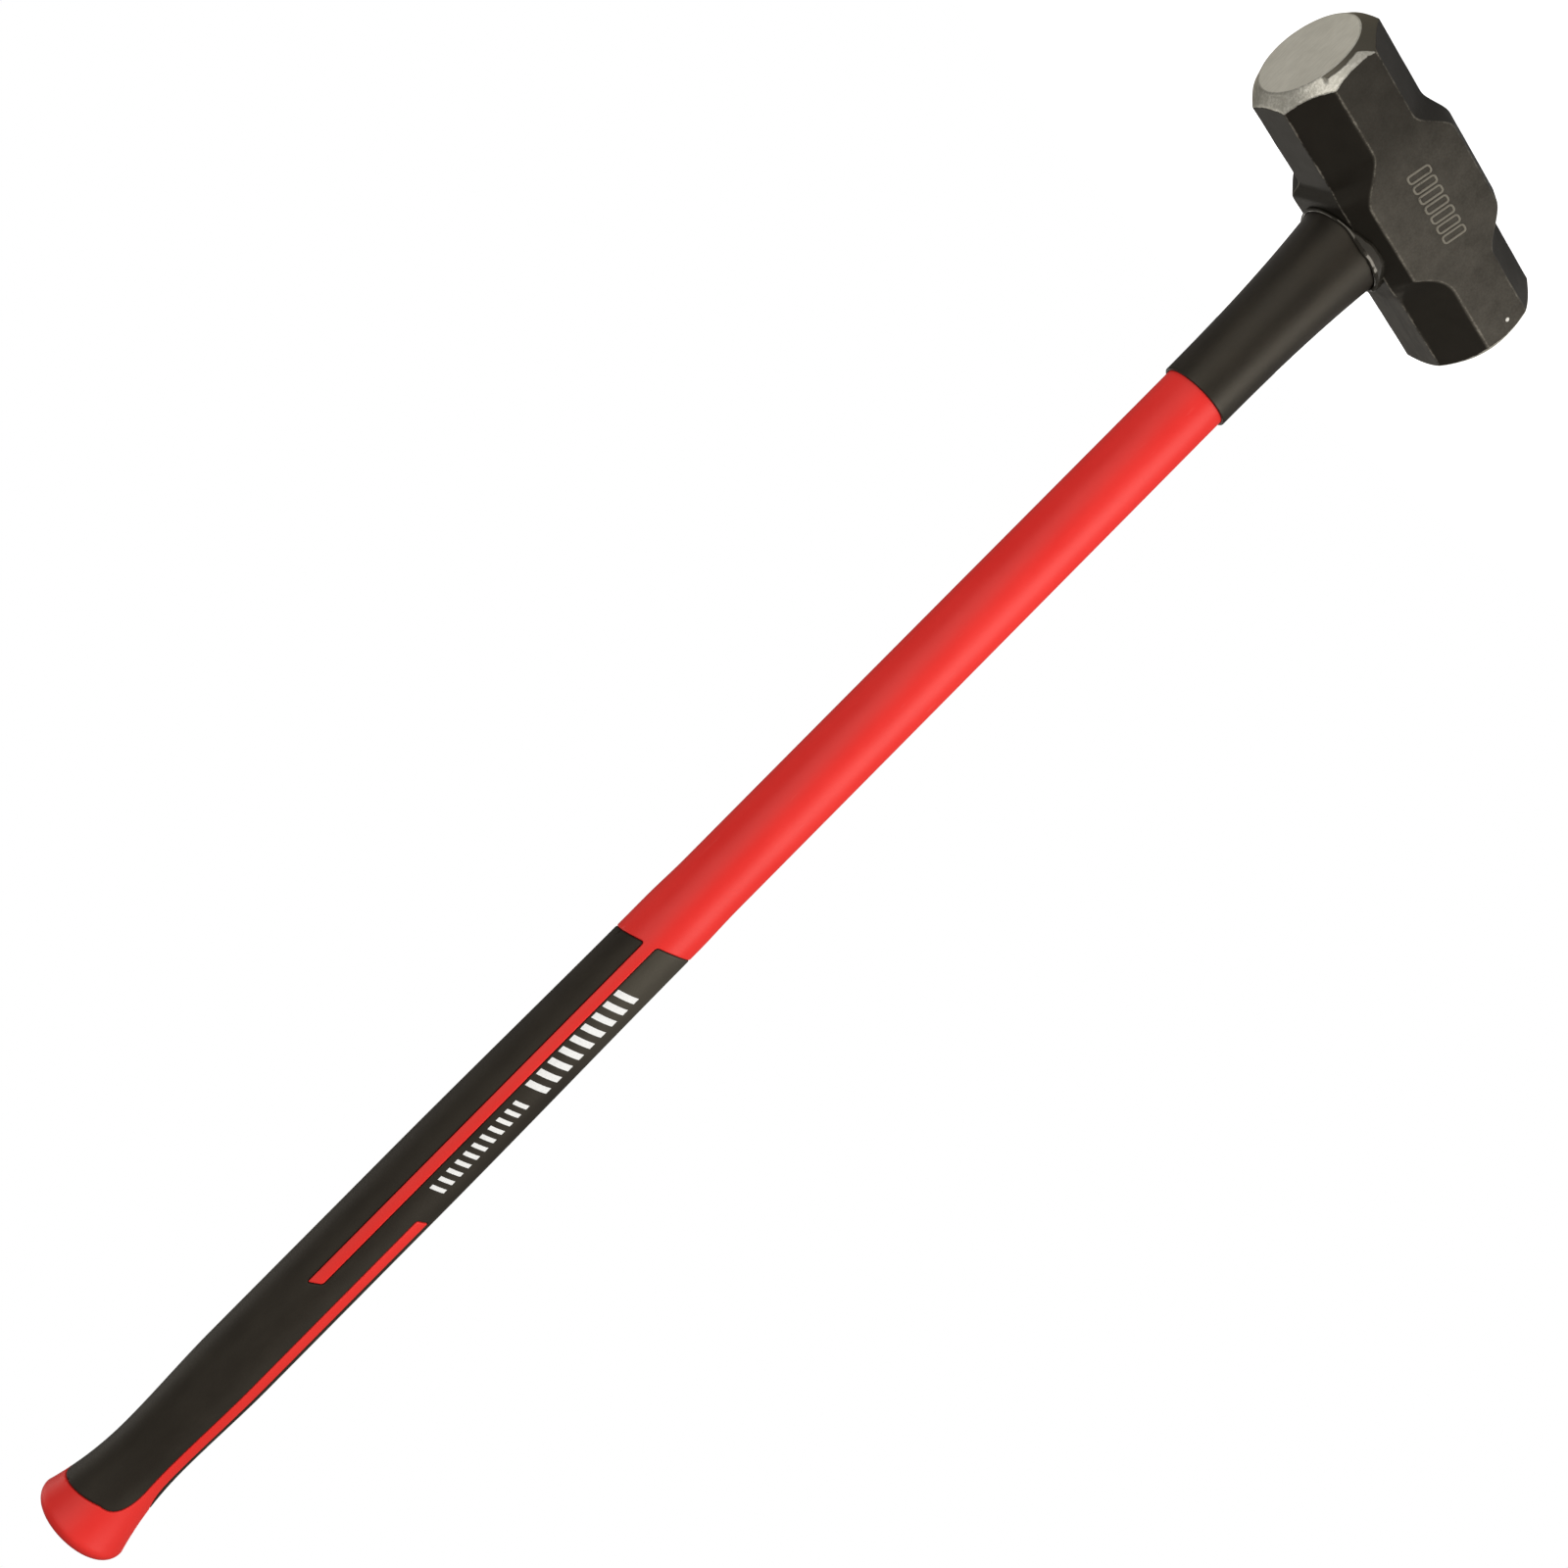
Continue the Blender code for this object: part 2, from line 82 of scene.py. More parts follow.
RAMP_FULL = 27 * MM  # the boss ends in a short ramp on the handle side of one end
RAMP_END = 35 * MM
FACE_RADIUS = HALF_WIDTH - 5.1 * MM
BEVEL_LENGTH = 6.1 * MM
BEVEL_SLOPE = (HALF_WIDTH / math.cos(math.radians(22.5)) - FACE_RADIUS) / BEVEL_LENGTH
BEVEL_BLUR = 0.35 * MM  # softness of the edge between a bevel and the forged sides
BEVEL_ZONE = 7.5 * MM  # finer rings this near each end
FACE_BREAK = 0.3 * MM  # broken edge round a striking face
FACE_RINGS = (  # share of the face's radius, and how far that ring lies below the face
    (0.997, 0.08 * MM), (0.985, 0), (0.96, 0), (0.8, 0), (0.6, 0), (0.4, 0), (0.2, 0),
)
PLAIN_START = 46 * MM  # from here to the bevel the bar is a plain octagon
RING_STEP = 1.2 * MM
EDGE_RADIUS = 2.2 * MM
EYE_HALF_LENGTH = 19 * MM
EYE_HALF_WIDTH = 14.5 * MM
EYE_TAPER = 0.75 * MM  # how much the eye opens toward the resting boss, on each side
EYE_OVERCUT = 4 * MM  # the cutting plug stands out of the boss by this much
SCALE_PITS = ((13 * MM, 0.11 * MM), (4 * MM, 0.035 * MM))  # size and depth of the forged unevenness
PIT_FADE = 3 * MM  # the unevenness dies out over this much before a ground bevel


def ease(share):
    """From 0 to 1 with level ends."""
    share = np.clip(share, 0, 1)
    return share * share * (3 - 2 * share)


def head_corners(x):
    """The eight corners of the head's section at one place along it, as (y, z) about its middle."""
    away = abs(x)
    cheek = ease((CHEEK_END - away) / (CHEEK_END - CHEEK_FULL))
    boss = ease((BOSS_END - away) / (BOSS_END - BOSS_FULL))
    sharp_cheek = np.clip((CHEEK_END - away) / (CHEEK_END - CHEEK_FULL), 0, 1) ** 2
    short_ramp = ease((RAMP_END - away) / (RAMP_END - RAMP_FULL))
    handle_side = (cheek, short_ramp) if x > 0 else (sharp_cheek, boss)
    corners = []
    for up, (cheek_share, boss_share) in ((1, handle_side), (-1, (cheek, boss))):
        cheek_z = OCTAGON_HALF_FLAT + (CHEEK_HALF - OCTAGON_HALF_FLAT) * cheek_share
        flat_y = OCTAGON_HALF_FLAT + (FLAT_HALF - OCTAGON_HALF_FLAT) * boss_share
        top = HALF_WIDTH + (BOSS_HALF - HALF_WIDTH) * boss_share
        quarter = [(HALF_WIDTH, cheek_z), (flat_y, top)]
        half = quarter + [(-y, z) for y, z in reversed(quarter)]
        corners += [(y * up, z * up) for y, z in half]
    return np.array(corners)


def rounded_ring(corners, radius, arc_steps, side_steps):
    """A closed section with rounded corners, its sides split evenly."""
    count = len(corners)
    arcs = []
    for i, corner in enumerate(corners):
        back = corners[i - 1] - corner
        ahead = corners[(i + 1) % count] - corner
        back, ahead = back / np.linalg.norm(back), ahead / np.linalg.norm(ahead)
        setback = radius * math.tan(math.acos(np.clip(-back @ ahead, -1, 1)) / 2)
        t = np.linspace(0, 1, arc_steps + 1)[:, None]
        start, end = corner + back * setback, corner + ahead * setback
        arcs.append((1 - t) ** 2 * start + 2 * t * (1 - t) * corner + t ** 2 * end)
    ring = []
    for arc, following in zip(arcs, arcs[1:] + arcs[:1]):
        t = np.linspace(0, 1, side_steps + 1)[1:-1, None]
        ring += [arc, arc[-1] * (1 - t) + following[0] * t]
    return np.vstack(ring)


def forged_skin(x):
    """One ring of the head, held inside the bevel and roughened where it was only forged."""
    ring = rounded_ring(head_corners(x), EDGE_RADIUS, arc_steps=6, side_steps=11)
    radius = np.linalg.norm(ring, axis=1)
    bevel = FACE_RADIUS + BEVEL_SLOPE * (HALF_LENGTH - abs(x))
    held = (radius + bevel - np.sqrt((radius - bevel) ** 2 + BEVEL_BLUR ** 2)) / 2
    forged = np.clip((bevel - radius) / PIT_FADE, 0, 1)
    points = []
    for (y, z), share, rough in zip(ring, held / radius, forged):
        point = Vector((x, y * share, z * share))
        pitting = sum(depth * noise.noise(point / size) for size, depth in SCALE_PITS)
        grown = 1 + rough * (pitting - SCALE_PITS[0][1] / 2) / point.yz.length
        points.append((x, point.y * grown, HEAD_MIDDLE + point.z * grown))
    return points


def bridged(first, second, count):
    """Quads between two rings of the same count, given where each ring starts."""
    return [(first + i, first + (i + 1) % count, second + (i + 1) % count, second + i)
            for i in range(count)]


def closed_off(points, faces, rim, rings, tip):
    """Closes an opening: quads from its rim through each ring of points, then triangles to a tip."""
    turn = list(range(1, len(rim))) + [0]
    for ring in rings:
        following = list(range(len(points), len(points) + len(rim)))
        points += ring
        faces += [(rim[i], rim[j], following[j], following[i]) for i, j in enumerate(turn)]
        rim = following
    points.append(tip)
    faces += [(rim[i], rim[j], len(points) - 1) for i, j in enumerate(turn)]


def closed_mesh(name, points, faces, sharp=35):
    """A closed mesh with its faces pointing out, smooth except across sharp edges."""
    mesh = bpy.data.meshes.new(name)
    mesh.from_pydata([tuple(p) for p in points], [], [tuple(f) for f in faces])
    bm = bmesh.new()
    bm.from_mesh(mesh)
    bmesh.ops.remove_doubles(bm, verts=bm.verts, dist=0.001 * MM)
    bmesh.ops.recalc_face_normals(bm, faces=bm.faces)
    bm.to_mesh(mesh)
    bm.free()
    mesh.shade_smooth()
    mesh.set_sharp_from_angle(angle=math.radians(sharp))
    return mesh


def shown(name, mesh, look=None):
    """A piece of the hammer, standing where its mesh says."""
    piece = bpy.data.objects.new(name, mesh)
    if look is not None:
        mesh.materials.clear()
        mesh.materials.append(look)
    bpy.context.scene.collection.objects.link(piece)
    return piece


def settled(piece):
    """The piece's mesh with its modifiers carried out."""
    bpy.context.view_layer.update()
    evaluated = piece.evaluated_get(bpy.context.evaluated_depsgraph_get())
    return bpy.data.meshes.new_from_object(evaluated)


def forged_bar():
    """The head before its eye is cut: rings along X, closed by its two flat faces."""
    shaped = np.arange(0, PLAIN_START, RING_STEP)
    ground = HALF_LENGTH - np.linspace(BEVEL_ZONE, FACE_BREAK, 26)
    half = np.concatenate([shaped, np.linspace(PLAIN_START, ground[0], 16)[:-1], ground])
    stations = np.concatenate([-half[:0:-1], half])
    points = [point for x in stations for point in forged_skin(x)]
    count = len(points) // len(stations)
    faces = []
    for i in range(len(stations) - 1):
        faces += bridged(i * count, (i + 1) * count, count)
    for side, start in ((-1, 0), (1, (len(stations) - 1) * count)):
        rim = points[start:start + count]
        rim_radius = math.hypot(rim[0][1], rim[0][2] - HEAD_MIDDLE)
        rings = []
        for share, drop in FACE_RINGS:
            scale = share * FACE_RADIUS / rim_radius
            rings.append([(side * (HALF_LENGTH - drop), y * scale, HEAD_MIDDLE + (z - HEAD_MIDDLE) * scale)
                          for _, y, z in rim])
        closed_off(points, faces, range(start, start + count), rings, (side * HALF_LENGTH, 0, HEAD_MIDDLE))
    return closed_mesh("forged_bar", points, faces)


def oval_plug(low, high, steps=96):
    """A tapered oval plug along Z that cuts the eye."""
    points = []
    for z in (low, high):
        grow = EYE_TAPER * (1 - z / (2 * BOSS_HALF))
        points += [((EYE_HALF_LENGTH + grow) * math.cos(turn), (EYE_HALF_WIDTH + grow) * math.sin(turn), z)
                   for turn in np.linspace(0, math.tau, steps, endpoint=False)]
    faces = bridged(0, steps, steps) + [tuple(range(steps)), tuple(range(steps, 2 * steps))]
    return closed_mesh("oval_plug", points, faces)


class Wire:
    """A node socket that sums can be written with: each operator adds one Math node."""

    def __init__(self, tree, socket=None):
        self.tree = tree
        self.socket = socket

    def add(self, kind, settings=None, values=None, output=0):
        """Any other node: its settings are set first, then its sockets' values or links."""
        node = self.tree.nodes.new(kind)
        for name, value in (settings or {}).items():
            setattr(node, name, value)
        for name, value in (values or {}).items():
            if isinstance(value, Wire):
                self.tree.links.new(value.socket, node.inputs[name])
            else:
                node.inputs[name].default_value = value
        return Wire(self.tree, node.outputs[output] if len(node.outputs) else None)

    def out(self, name):
        """Another output of the same node."""
        return Wire(self.tree, self.socket.node.outputs[name])

    def parts(self):
        """The X, Y and Z of this vector."""
        split = self.add("ShaderNodeSeparateXYZ", None, {0: self})
        return split, split.out("Y"), split.out("Z")

    def math(self, operation, first, second=0.0):
        return self.add("ShaderNodeMath", {"operation": operation}, {0: first, 1: second})

    def __add__(self, other):
        return self.math("ADD", self, other)

    def __sub__(self, other):
        return self.math("SUBTRACT", self, other)

    def __rsub__(self, other):
        return self.math("SUBTRACT", other, self)

    def __mul__(self, other):
        return self.math("MULTIPLY", self, other)

    def __truediv__(self, other):
        return self.math("DIVIDE", self, other)

    def __pow__(self, other):
        return self.math("POWER", self, other)

    def __abs__(self):
        return self.math("ABSOLUTE", self)

    __radd__ = __add__
    __rmul__ = __mul__

    def between(self, low, high):
        """0 below low, 1 above high, and smooth between them."""
        return self.add("ShaderNodeMapRange", {"interpolation_type": "SMOOTHSTEP"},
                        {0: self, 1: low, 2: high})

    def tint(self, first, second):
        """The first colour where this is 0 and the second where it is 1."""
        colours = [c if isinstance(c, Wire) else (*c, 1) for c in (first, second)]
        return self.add("ShaderNodeMix", {"data_type": "RGBA"}, {0: self, 6: colours[0], 7: colours[1]}, 2)

    def clouds(self, size, detail=3.0, stretch=(1, 1, 1)):
        """Soft noise from 0 to 1 on this position, with features of about that size in metres."""
        placed = self.add("ShaderNodeVectorMath", {"operation": "MULTIPLY"}, {0: self, 1: stretch})
        return self.add("ShaderNodeTexNoise", None,
                        {"Vector": placed, "Scale": 1 / size, "Detail": detail, "Roughness": 0.6})

    def away_from(self, point):
        """Distance from a fixed point to this position."""
        return self.add("ShaderNodeVectorMath", {"operation": "DISTANCE"}, {0: self, 1: point}, "Value")

    def bumped(self, height, strength, distance):
        """A normal that follows a height."""
        return self.add("ShaderNodeBump", None,
                        {"Height": height, "Strength": strength, "Distance": distance})


def new_finish(name):
    """An empty material, the wire that adds its nodes, and the place that its patterns read."""
    finish = bpy.data.materials.new(name)
    finish.use_nodes = True
    finish.node_tree.nodes.clear()
    wire = Wire(finish.node_tree)
    return finish, wire, wire.add("ShaderNodeTexCoord", output="Object")


def surfaced(wire, **values):
    """Ends a material in a Principled surface; names are its sockets with _ for a space."""
    named = {name.replace("_", " "): value for name, value in values.items()}
    shader = wire.add("ShaderNodeBsdfPrincipled", None, named)
    wire.add("ShaderNodeOutputMaterial", None, {"Surface": shader})


LACQUER = (0.0070, 0.0058, 0.0042)
LACQUER_DUSTY = (0.105, 0.097, 0.084)
LACQUER_WORN = (0.25, 0.235, 0.20)
GROUND_STEEL = (0.87, 0.86, 0.79)
DULL_STEEL = (0.71, 0.70, 0.63)
BEVEL_STEEL = (0.42, 0.41, 0.365)
BURNT_STEEL = (0.12, 0.112, 0.092)
BRIGHT_STEEL = (0.93, 0.92, 0.87)
CHIP_STEEL = (0.9, 0.89, 0.85)
BLACK_SHEEN = (1, 0.93, 0.80, 1)  # warm cast of the light off the black pieces
GULLY_WIDTH = 2.2 * MM  # crescent beside the +X face that the grinding wheel missed
GULLY_START = math.radians(-85)  # its angles round the face, from -Y toward +Z
GULLY_FULL = math.radians(-27)  # it is wide up to here
GULLY_SPREAD = math.radians(-13)  # and narrow from here
GULLY_END = math.radians(25)
PAINT_REACH = 0.45 * MM  # how far the lacquer's edge wanders along the bevel
PAINT_EDGE = (-0.75 * MM, -0.35 * MM)  # the lacquer thins out between these, past the bevel's foot
TURNED_DEPTH = (0.9 * MM, 0.6 * MM)  # both ends are bare steel down to here
ON_FLAT = (HALF_WIDTH - 1.2 * MM, HALF_WIDTH - 0.4 * MM)  # how far out the flat sides lie
DUST_FADE = (50 * MM, 12 * MM)  # the cheeks' dust thins out along X between these
DUST_LEAST = 0.35
SMEAR_ENDS = (-20 * MM, -28 * MM)  # the top flat is smeared beyond these
CHIP_PLACE = (-75.5 * MM, -HALF_WIDTH, HEAD_MIDDLE - 2.4 * MM)
CHIP_RADIUS = 1.2 * MM


def head_finish():
    """Lacquered forging with bare ground ends."""
    finish, wire, place = new_finish("lacquered_forging")
    x, y, z = place.parts()
    z = z - HEAD_MIDDLE
    radius = (y * y + z * z) ** 0.5
    from_end = HALF_LENGTH - abs(x)
    bevel = from_end * BEVEL_SLOPE + FACE_RADIUS
    creep = (place.clouds(2.4 * MM) - 0.5) * (3 * PAINT_REACH)
    bevel_bare = (radius - bevel + creep).between(*PAINT_EDGE)
    bare = bevel_bare * from_end.between(BEVEL_LENGTH + 2 * MM, BEVEL_LENGTH + 1 * MM)
    bare = bare.math("MAXIMUM", bare, from_end.between(*TURNED_DEPTH))
    turn = z.math("ARCTAN2", z, y * -1)
    beside_rim = radius - FACE_RADIUS
    ragged = place.clouds(3 * MM)
    width = (ragged * 0.7 + 0.65 + turn.between(GULLY_SPREAD, GULLY_FULL) * 3.5) * GULLY_WIDTH
    gully = 1 - (beside_rim - width).between(-0.3 * MM, 0.3 * MM)
    gully = gully * beside_rim.between(0.1 * MM, 0.35 * MM)
    gully = gully * turn.between(GULLY_START - 0.5, GULLY_START)
    gully = gully * (1 - (turn + beside_rim * 25).between(GULLY_END, GULLY_END + 0.07))
    hook = 1 - abs(turn - beside_rim * 12 - GULLY_END + ragged * 0.06).between(0.015, 0.06)
    hook = hook * beside_rim.between(0.2 * MM, 0.8 * MM) * (1 - beside_rim.between(2.2 * MM, 4.2 * MM))
    gully = gully.math("MAXIMUM", gully, hook * 0.8) * x.between(0, 1 * MM)
    bright = (ragged * 0.6 + place.clouds(1.2 * MM) * 0.5).between(0.45, 0.75)
    bright = bright * bevel_bare * (1 - gully)
    chip = 1 - place.away_from(CHIP_PLACE).between(CHIP_RADIUS * 0.7, CHIP_RADIUS)
    wear = wire.add("ShaderNodeAttribute", {"attribute_name": "wear"}, output="Fac")
    grain = place.clouds(1.1 * MM, 4.0)
    mottle = place.clouds(9 * MM, 4.0)
    thin = (wear * (grain * 0.9 + mottle * 1.5 - 0.55)).between(0.3, 0.95)
    paler_zone = abs(y).between(*ON_FLAT)
    paler_zone = paler_zone * (x.between(*DUST_FADE) * (1 - DUST_LEAST) + DUST_LEAST)
    smears = place.clouds(6 * MM, 3.0, (0.4, 1, 1)).between(0.68, 0.4)
    paler_zone = paler_zone + z.between(*ON_FLAT) * x.between(*SMEAR_ENDS) * smears * 0.55
    dusty = (mottle * 0.75 + grain * 0.5 - 0.06) * (paler_zone * 0.92 + 0.08)
    lacquer = thin.tint(dusty.tint(LACQUER, LACQUER_DUSTY), LACQUER_WORN)
    lathe = place.clouds(0.5 * MM, 2.0, (1, 1, 0.06))
    steel = (lathe * 0.6 + mottle * 0.5).between(0.3, 0.8).tint(DULL_STEEL, GROUND_STEEL)
    steel = (bevel_bare * (0.9 - mottle * 0.5)).tint(steel, BEVEL_STEEL)
    steel = (bright * 0.55).tint(gully.tint(steel, BURNT_STEEL), BRIGHT_STEEL)
    colour = chip.tint(bare.tint(lacquer, steel), CHIP_STEEL)
    roughness = bare * (lathe * 0.14 - 0.1) + 0.46 + mottle * 0.1
    height = grain * 0.4 + mottle * 0.6 + bare * (lathe * 0.25 - 0.8) + bright * 0.7 - gully * bare * 3
    surfaced(wire, Base_Color=colour, Metallic=bare, Roughness=roughness, Specular_IOR_Level=0.3,
             Specular_Tint=BLACK_SHEEN, Normal=wire.bumped(height, 0.55, 0.18 * MM))
    return finish


WORN_REACH = 1.5 * MM


def edge_wear(point):
    """How close a point of the head is to a forged edge, from 0 to 1."""
    x, y, z = point
    gaps = np.linalg.norm(head_corners(x) - (y, z - HEAD_MIDDLE), axis=1)
    return 1 - min(gaps.min() / WORN_REACH, 1)


def keep_wear(mesh, worn):
    """Stores on each point of a mesh how thin its lacquer is worn."""
    wear = mesh.attributes.new("wear", "FLOAT", "POINT")
    wear.data.foreach_set("value", worn)


bar = shown("forged_bar", forged_bar())
plug = shown("eye_plug", oval_plug(-EYE_OVERCUT, 2 * BOSS_HALF + EYE_OVERCUT))
cut = bar.modifiers.new("eye", "BOOLEAN")
cut.operation = "DIFFERENCE"
cut.object = plug
head_mesh = settled(bar)
for helper in (bar, plug):
    bpy.data.objects.remove(helper)
head_mesh.shade_smooth()
head_mesh.set_sharp_from_angle(angle=math.radians(30))
keep_wear(head_mesh, [edge_wear(vertex.co) for vertex in head_mesh.vertices])
head = shown("forged_head", head_mesh, head_finish())
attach(head, "root")
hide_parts("hammer_head")

# ----- raised mark on the cheek
# The forging die leaves a raised mark in the middle of one cheek. Here it is a plain row of leaning
# outlines, standing half a millimetre proud. They are dipped with the head and rubbed almost bare.


def pattern_tree(name, sizes):
    """A geometry tree with a named input for each size, the wire that adds its nodes, and its inputs."""
    tree = bpy.data.node_groups.new(name, "GeometryNodeTree")
    for size, value in sizes.items():
        kind = "NodeSocketInt" if isinstance(value, int) else "NodeSocketFloat"
        tree.interface.new_socket(size, in_out="INPUT", socket_type=kind)
    tree.interface.new_socket("Geometry", in_out="OUTPUT", socket_type="NodeSocketGeometry")
    source = tree.nodes.new("NodeGroupInput")
    return tree, Wire(tree), {size: Wire(tree, source.outputs[size]) for size in sizes}


def joined_xyz(wire, x, y, z):
    return wire.add("ShaderNodeCombineXYZ", None, {0: x, 1: y, 2: z})


def moved(wire, shape, position):
    return wire.add("GeometryNodeSetPosition", None, {"Geometry": shape, "Position": position})


def here(wire):
    """The X, Y and Z of each point of a shape."""
    return wire.add("GeometryNodeInputPosition").parts()


def ring_curve(wire, steps, radius):
    return wire.add("GeometryNodeCurvePrimitiveCircle", None, {"Resolution": steps, "Radius": radius})


def repeated(wire, shape, first, pitch, count, along):
    """Copies of a shape in a row along X or Z."""
    start, step = ([size if axis == along else 0.0 for axis in "XYZ"] for size in (first, pitch))
    row = wire.add("GeometryNodeMeshLine", None,
                   {"Count": count, "Start Location": joined_xyz(wire, *start),
                    "Offset": joined_xyz(wire, *step)})
    placed = wire.add("GeometryNodeInstanceOnPoints", None, {"Points": row, "Instance": shape})
    return wire.add("GeometryNodeRealizeInstances", None, {"Geometry": placed})


def finished_tree(wire, shape, look, smooth=True):
    """Ends a geometry tree with its shading, its material and its output."""
    shaded = wire.add("GeometryNodeSetShadeSmooth", None, {"Geometry": shape, "Shade Smooth": smooth})
    coated = wire.add("GeometryNodeSetMaterial", None, {"Geometry": shaded, "Material": look})
    wire.add("NodeGroupOutput", None, {"Geometry": coated})


def grown_piece(name, tree, sizes):
    """A plain mesh piece made by a geometry tree from its sizes."""
    holder = shown(name, bpy.data.meshes.new(name))
    step = holder.modifiers.new("pattern", "NODES")
    step.node_group = tree
    for item in tree.interface.items_tree:
        if item.in_out == "INPUT":
            step[item.identifier] = sizes[item.name]
    mesh = settled(holder)
    holder.modifiers.clear()
    holder.data = mesh
    return holder


def outline_mark_tree(sizes, look):
    """Leaning rounded outlines of round wire, in a row along X, half sunk into the cheek."""
    tree, wire, size = pattern_tree("outline_marks", sizes)
    loop = wire.add("GeometryNodeCurvePrimitiveQuadrilateral", None,
                    {"Width": size["Width"], "Height": size["Height"]})
    loop = wire.add("GeometryNodeFilletCurve", {"mode": "POLY"},
                    {"Curve": loop, "Radius": size["Width"] * 0.35, "Count": 4})
    ribbon = wire.add("GeometryNodeCurveToMesh", None,
                      {"Curve": loop, "Profile Curve": ring_curve(wire, 8, size["Line Radius"])})
    x, y, z = here(wire)
    leaning = x + y * size["Lean"]
    stood = moved(wire, ribbon, joined_xyz(wire, leaning, z - size["Face"], y + size["Middle"]))
    row = repeated(wire, stood, size["First"], size["Pitch"], size["Count"], "X")
    finished_tree(wire, row, look)
    return tree


MARK_COUNT = 7
MARK_PITCH = 6.1 * MM
MARK_WEAR = 2.0  # more than any edge of the head has
mark_sizes = {
    "Count": MARK_COUNT, "Pitch": MARK_PITCH, "First": -MARK_PITCH * (MARK_COUNT - 1) / 2,
    "Width": 4.0 * MM, "Height": 12 * MM, "Line Radius": 0.6 * MM, "Lean": 0.22,
    "Face": HALF_WIDTH - 0.1 * MM, "Middle": HEAD_MIDDLE - 1 * MM,
}
marks = grown_piece("cheek_marks", outline_mark_tree(mark_sizes, head.data.materials[0]), mark_sizes)
keep_wear(marks.data, [MARK_WEAR] * len(marks.data.vertices))
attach(marks, "root")

# ----- core and bond
# The pultruded fibreglass rod runs from the resting boss up the whole handle. In the eye it is set in
# poured epoxy. Both are cut off just inside the boss, so only their ends show from below.

FIBRE_DARK = (0.30, 0.28, 0.16)
FIBRE_PALE = (0.62, 0.60, 0.44)
EPOXY_DARK = (0.02, 0.019, 0.016)
EPOXY_PALE = (0.05, 0.045, 0.035)


def core_finish():
    """Sawn glass fibre: pale, with dark specks of resin between the strands."""
    finish, wire, place = new_finish("glass_fibre")
    strands = place.clouds(0.5 * MM, 4.0, (1, 1, 0.05))
    colour = strands.between(0.35, 0.65).tint(FIBRE_DARK, FIBRE_PALE)
    surfaced(wire, Base_Color=colour, Roughness=strands * 0.3 + 0.3,
             Normal=wire.bumped(strands, 0.4, 0.1 * MM))
    return finish


def bond_finish():
    """Cast epoxy, dark and glassy, with a few ripples from pouring."""
    finish, wire, place = new_finish("cast_epoxy")
    ripple = place.clouds(6 * MM, 2.0)
    surfaced(wire, Base_Color=ripple.tint(EPOXY_DARK, EPOXY_PALE), Roughness=ripple * 0.15 + 0.12,
             Normal=wire.bumped(ripple, 0.5, 0.4 * MM))
    return finish


for node, look in (("fibreglass_core", core_finish()), ("eye_epoxy", bond_finish())):
    for material_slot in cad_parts[node].material_slots:
        material_slot.material = look

# ----- handle jacket
# Red polypropylene moulded over the core: a straight tube that widens into a palm swell and a flared
# butt. Stripes of it stand up through the slots of the grip, and a shallow pocket holds the grip.

GAP = 0.3 * MM  # between one moulding and the next
BUTT = cad_box[1].z
TUBE_LOW = 2 * BOSS_HALF + GAP
BUTT_RADIUS = 24 * MM
BUTT_EDGE = 5.5 * MM
BUTT_DOME = 1.2 * MM
BUTT_EDGE_HEIGHT = BUTT - BUTT_DOME - BUTT_EDGE
NECK_HEIGHT = BUTT - 53.5 * MM
FLARE_POWER = 2.1
HANDLE_STATIONS = (  # height and radius, from the boss to the neck before the butt
    (TUBE_LOW, 16.8 * MM),
    (BUTT - 421.5 * MM, 17.2 * MM),
    (BUTT - 395.5 * MM, 17.8 * MM),
    (BUTT - 223.5 * MM, 19 * MM),
    (BUTT - 108.5 * MM, 19.1 * MM),
    (NECK_HEIGHT, 17.7 * MM),
)
CORE_BORE = 12.3 * MM
CORE_TOP = BUTT - 13.7 * MM
GRIP_THICKNESS = 2.2 * MM
GRIP_TOP = BUTT - 383 * MM
GRIP_RIM = BUTT - 23.5 * MM
GRIP_RISE = 6 * MM  # both grip edges are slanted by this much each way
GRIP_SLANT = math.radians(34)
LONG_STRIPE = (math.radians(34.2), 6.5 * MM, BUTT - 165.1 * MM, 2.2 * MM)  # angle, width, end, lean
SHORT_STRIPE = (math.radians(-22.6), 8.3 * MM, BUTT - 217.8 * MM, 0.7 * MM)
RIM_CORNER_WIDTH = 11.5 * MM
RIM_CORNER_HEIGHT = 17 * MM
CORNER_RADIUS = 1.6 * MM  # the other corners of the grip's outline
CORNER_MARGIN = math.radians(7)  # an edge has no points of its own this near a stripe's mouth
OUTLINE_STEP = 1 * MM
COLUMNS = 96  # rows of points round the handle
ROW_STEP = 3.5 * MM
UNROLLED = 18.6 * MM  # the skin is laid flat at this radius
SEAM_TURN = math.radians(90)  # where the flat skin is closed up
SEAM_LEFT = (SEAM_TURN - math.tau) * UNROLLED
SEAM_RIGHT = SEAM_TURN * UNROLLED
COLUMN_PLACES = np.linspace(SEAM_LEFT, SEAM_RIGHT, COLUMNS + 1)


def handle_radius(z):
    """Outer radius of the handle at a height."""
    z = np.asarray(z, float)
    radius = np.full(z.shape, HANDLE_STATIONS[0][1])
    for (low_z, low), (high_z, high) in zip(HANDLE_STATIONS, HANDLE_STATIONS[1:]):
        radius = radius + (high - low) * ease((z - low_z) / (high_z - low_z))
    flare = np.clip((z - NECK_HEIGHT) / (BUTT_EDGE_HEIGHT - NECK_HEIGHT), 0, 1) ** FLARE_POWER
    return radius + (BUTT_RADIUS - HANDLE_STATIONS[-1][1]) * flare


def slanted(middle, turn):
    """Height of a slanted grip edge at an angle round the handle."""
    return middle + GRIP_RISE * math.sin(turn - GRIP_SLANT)


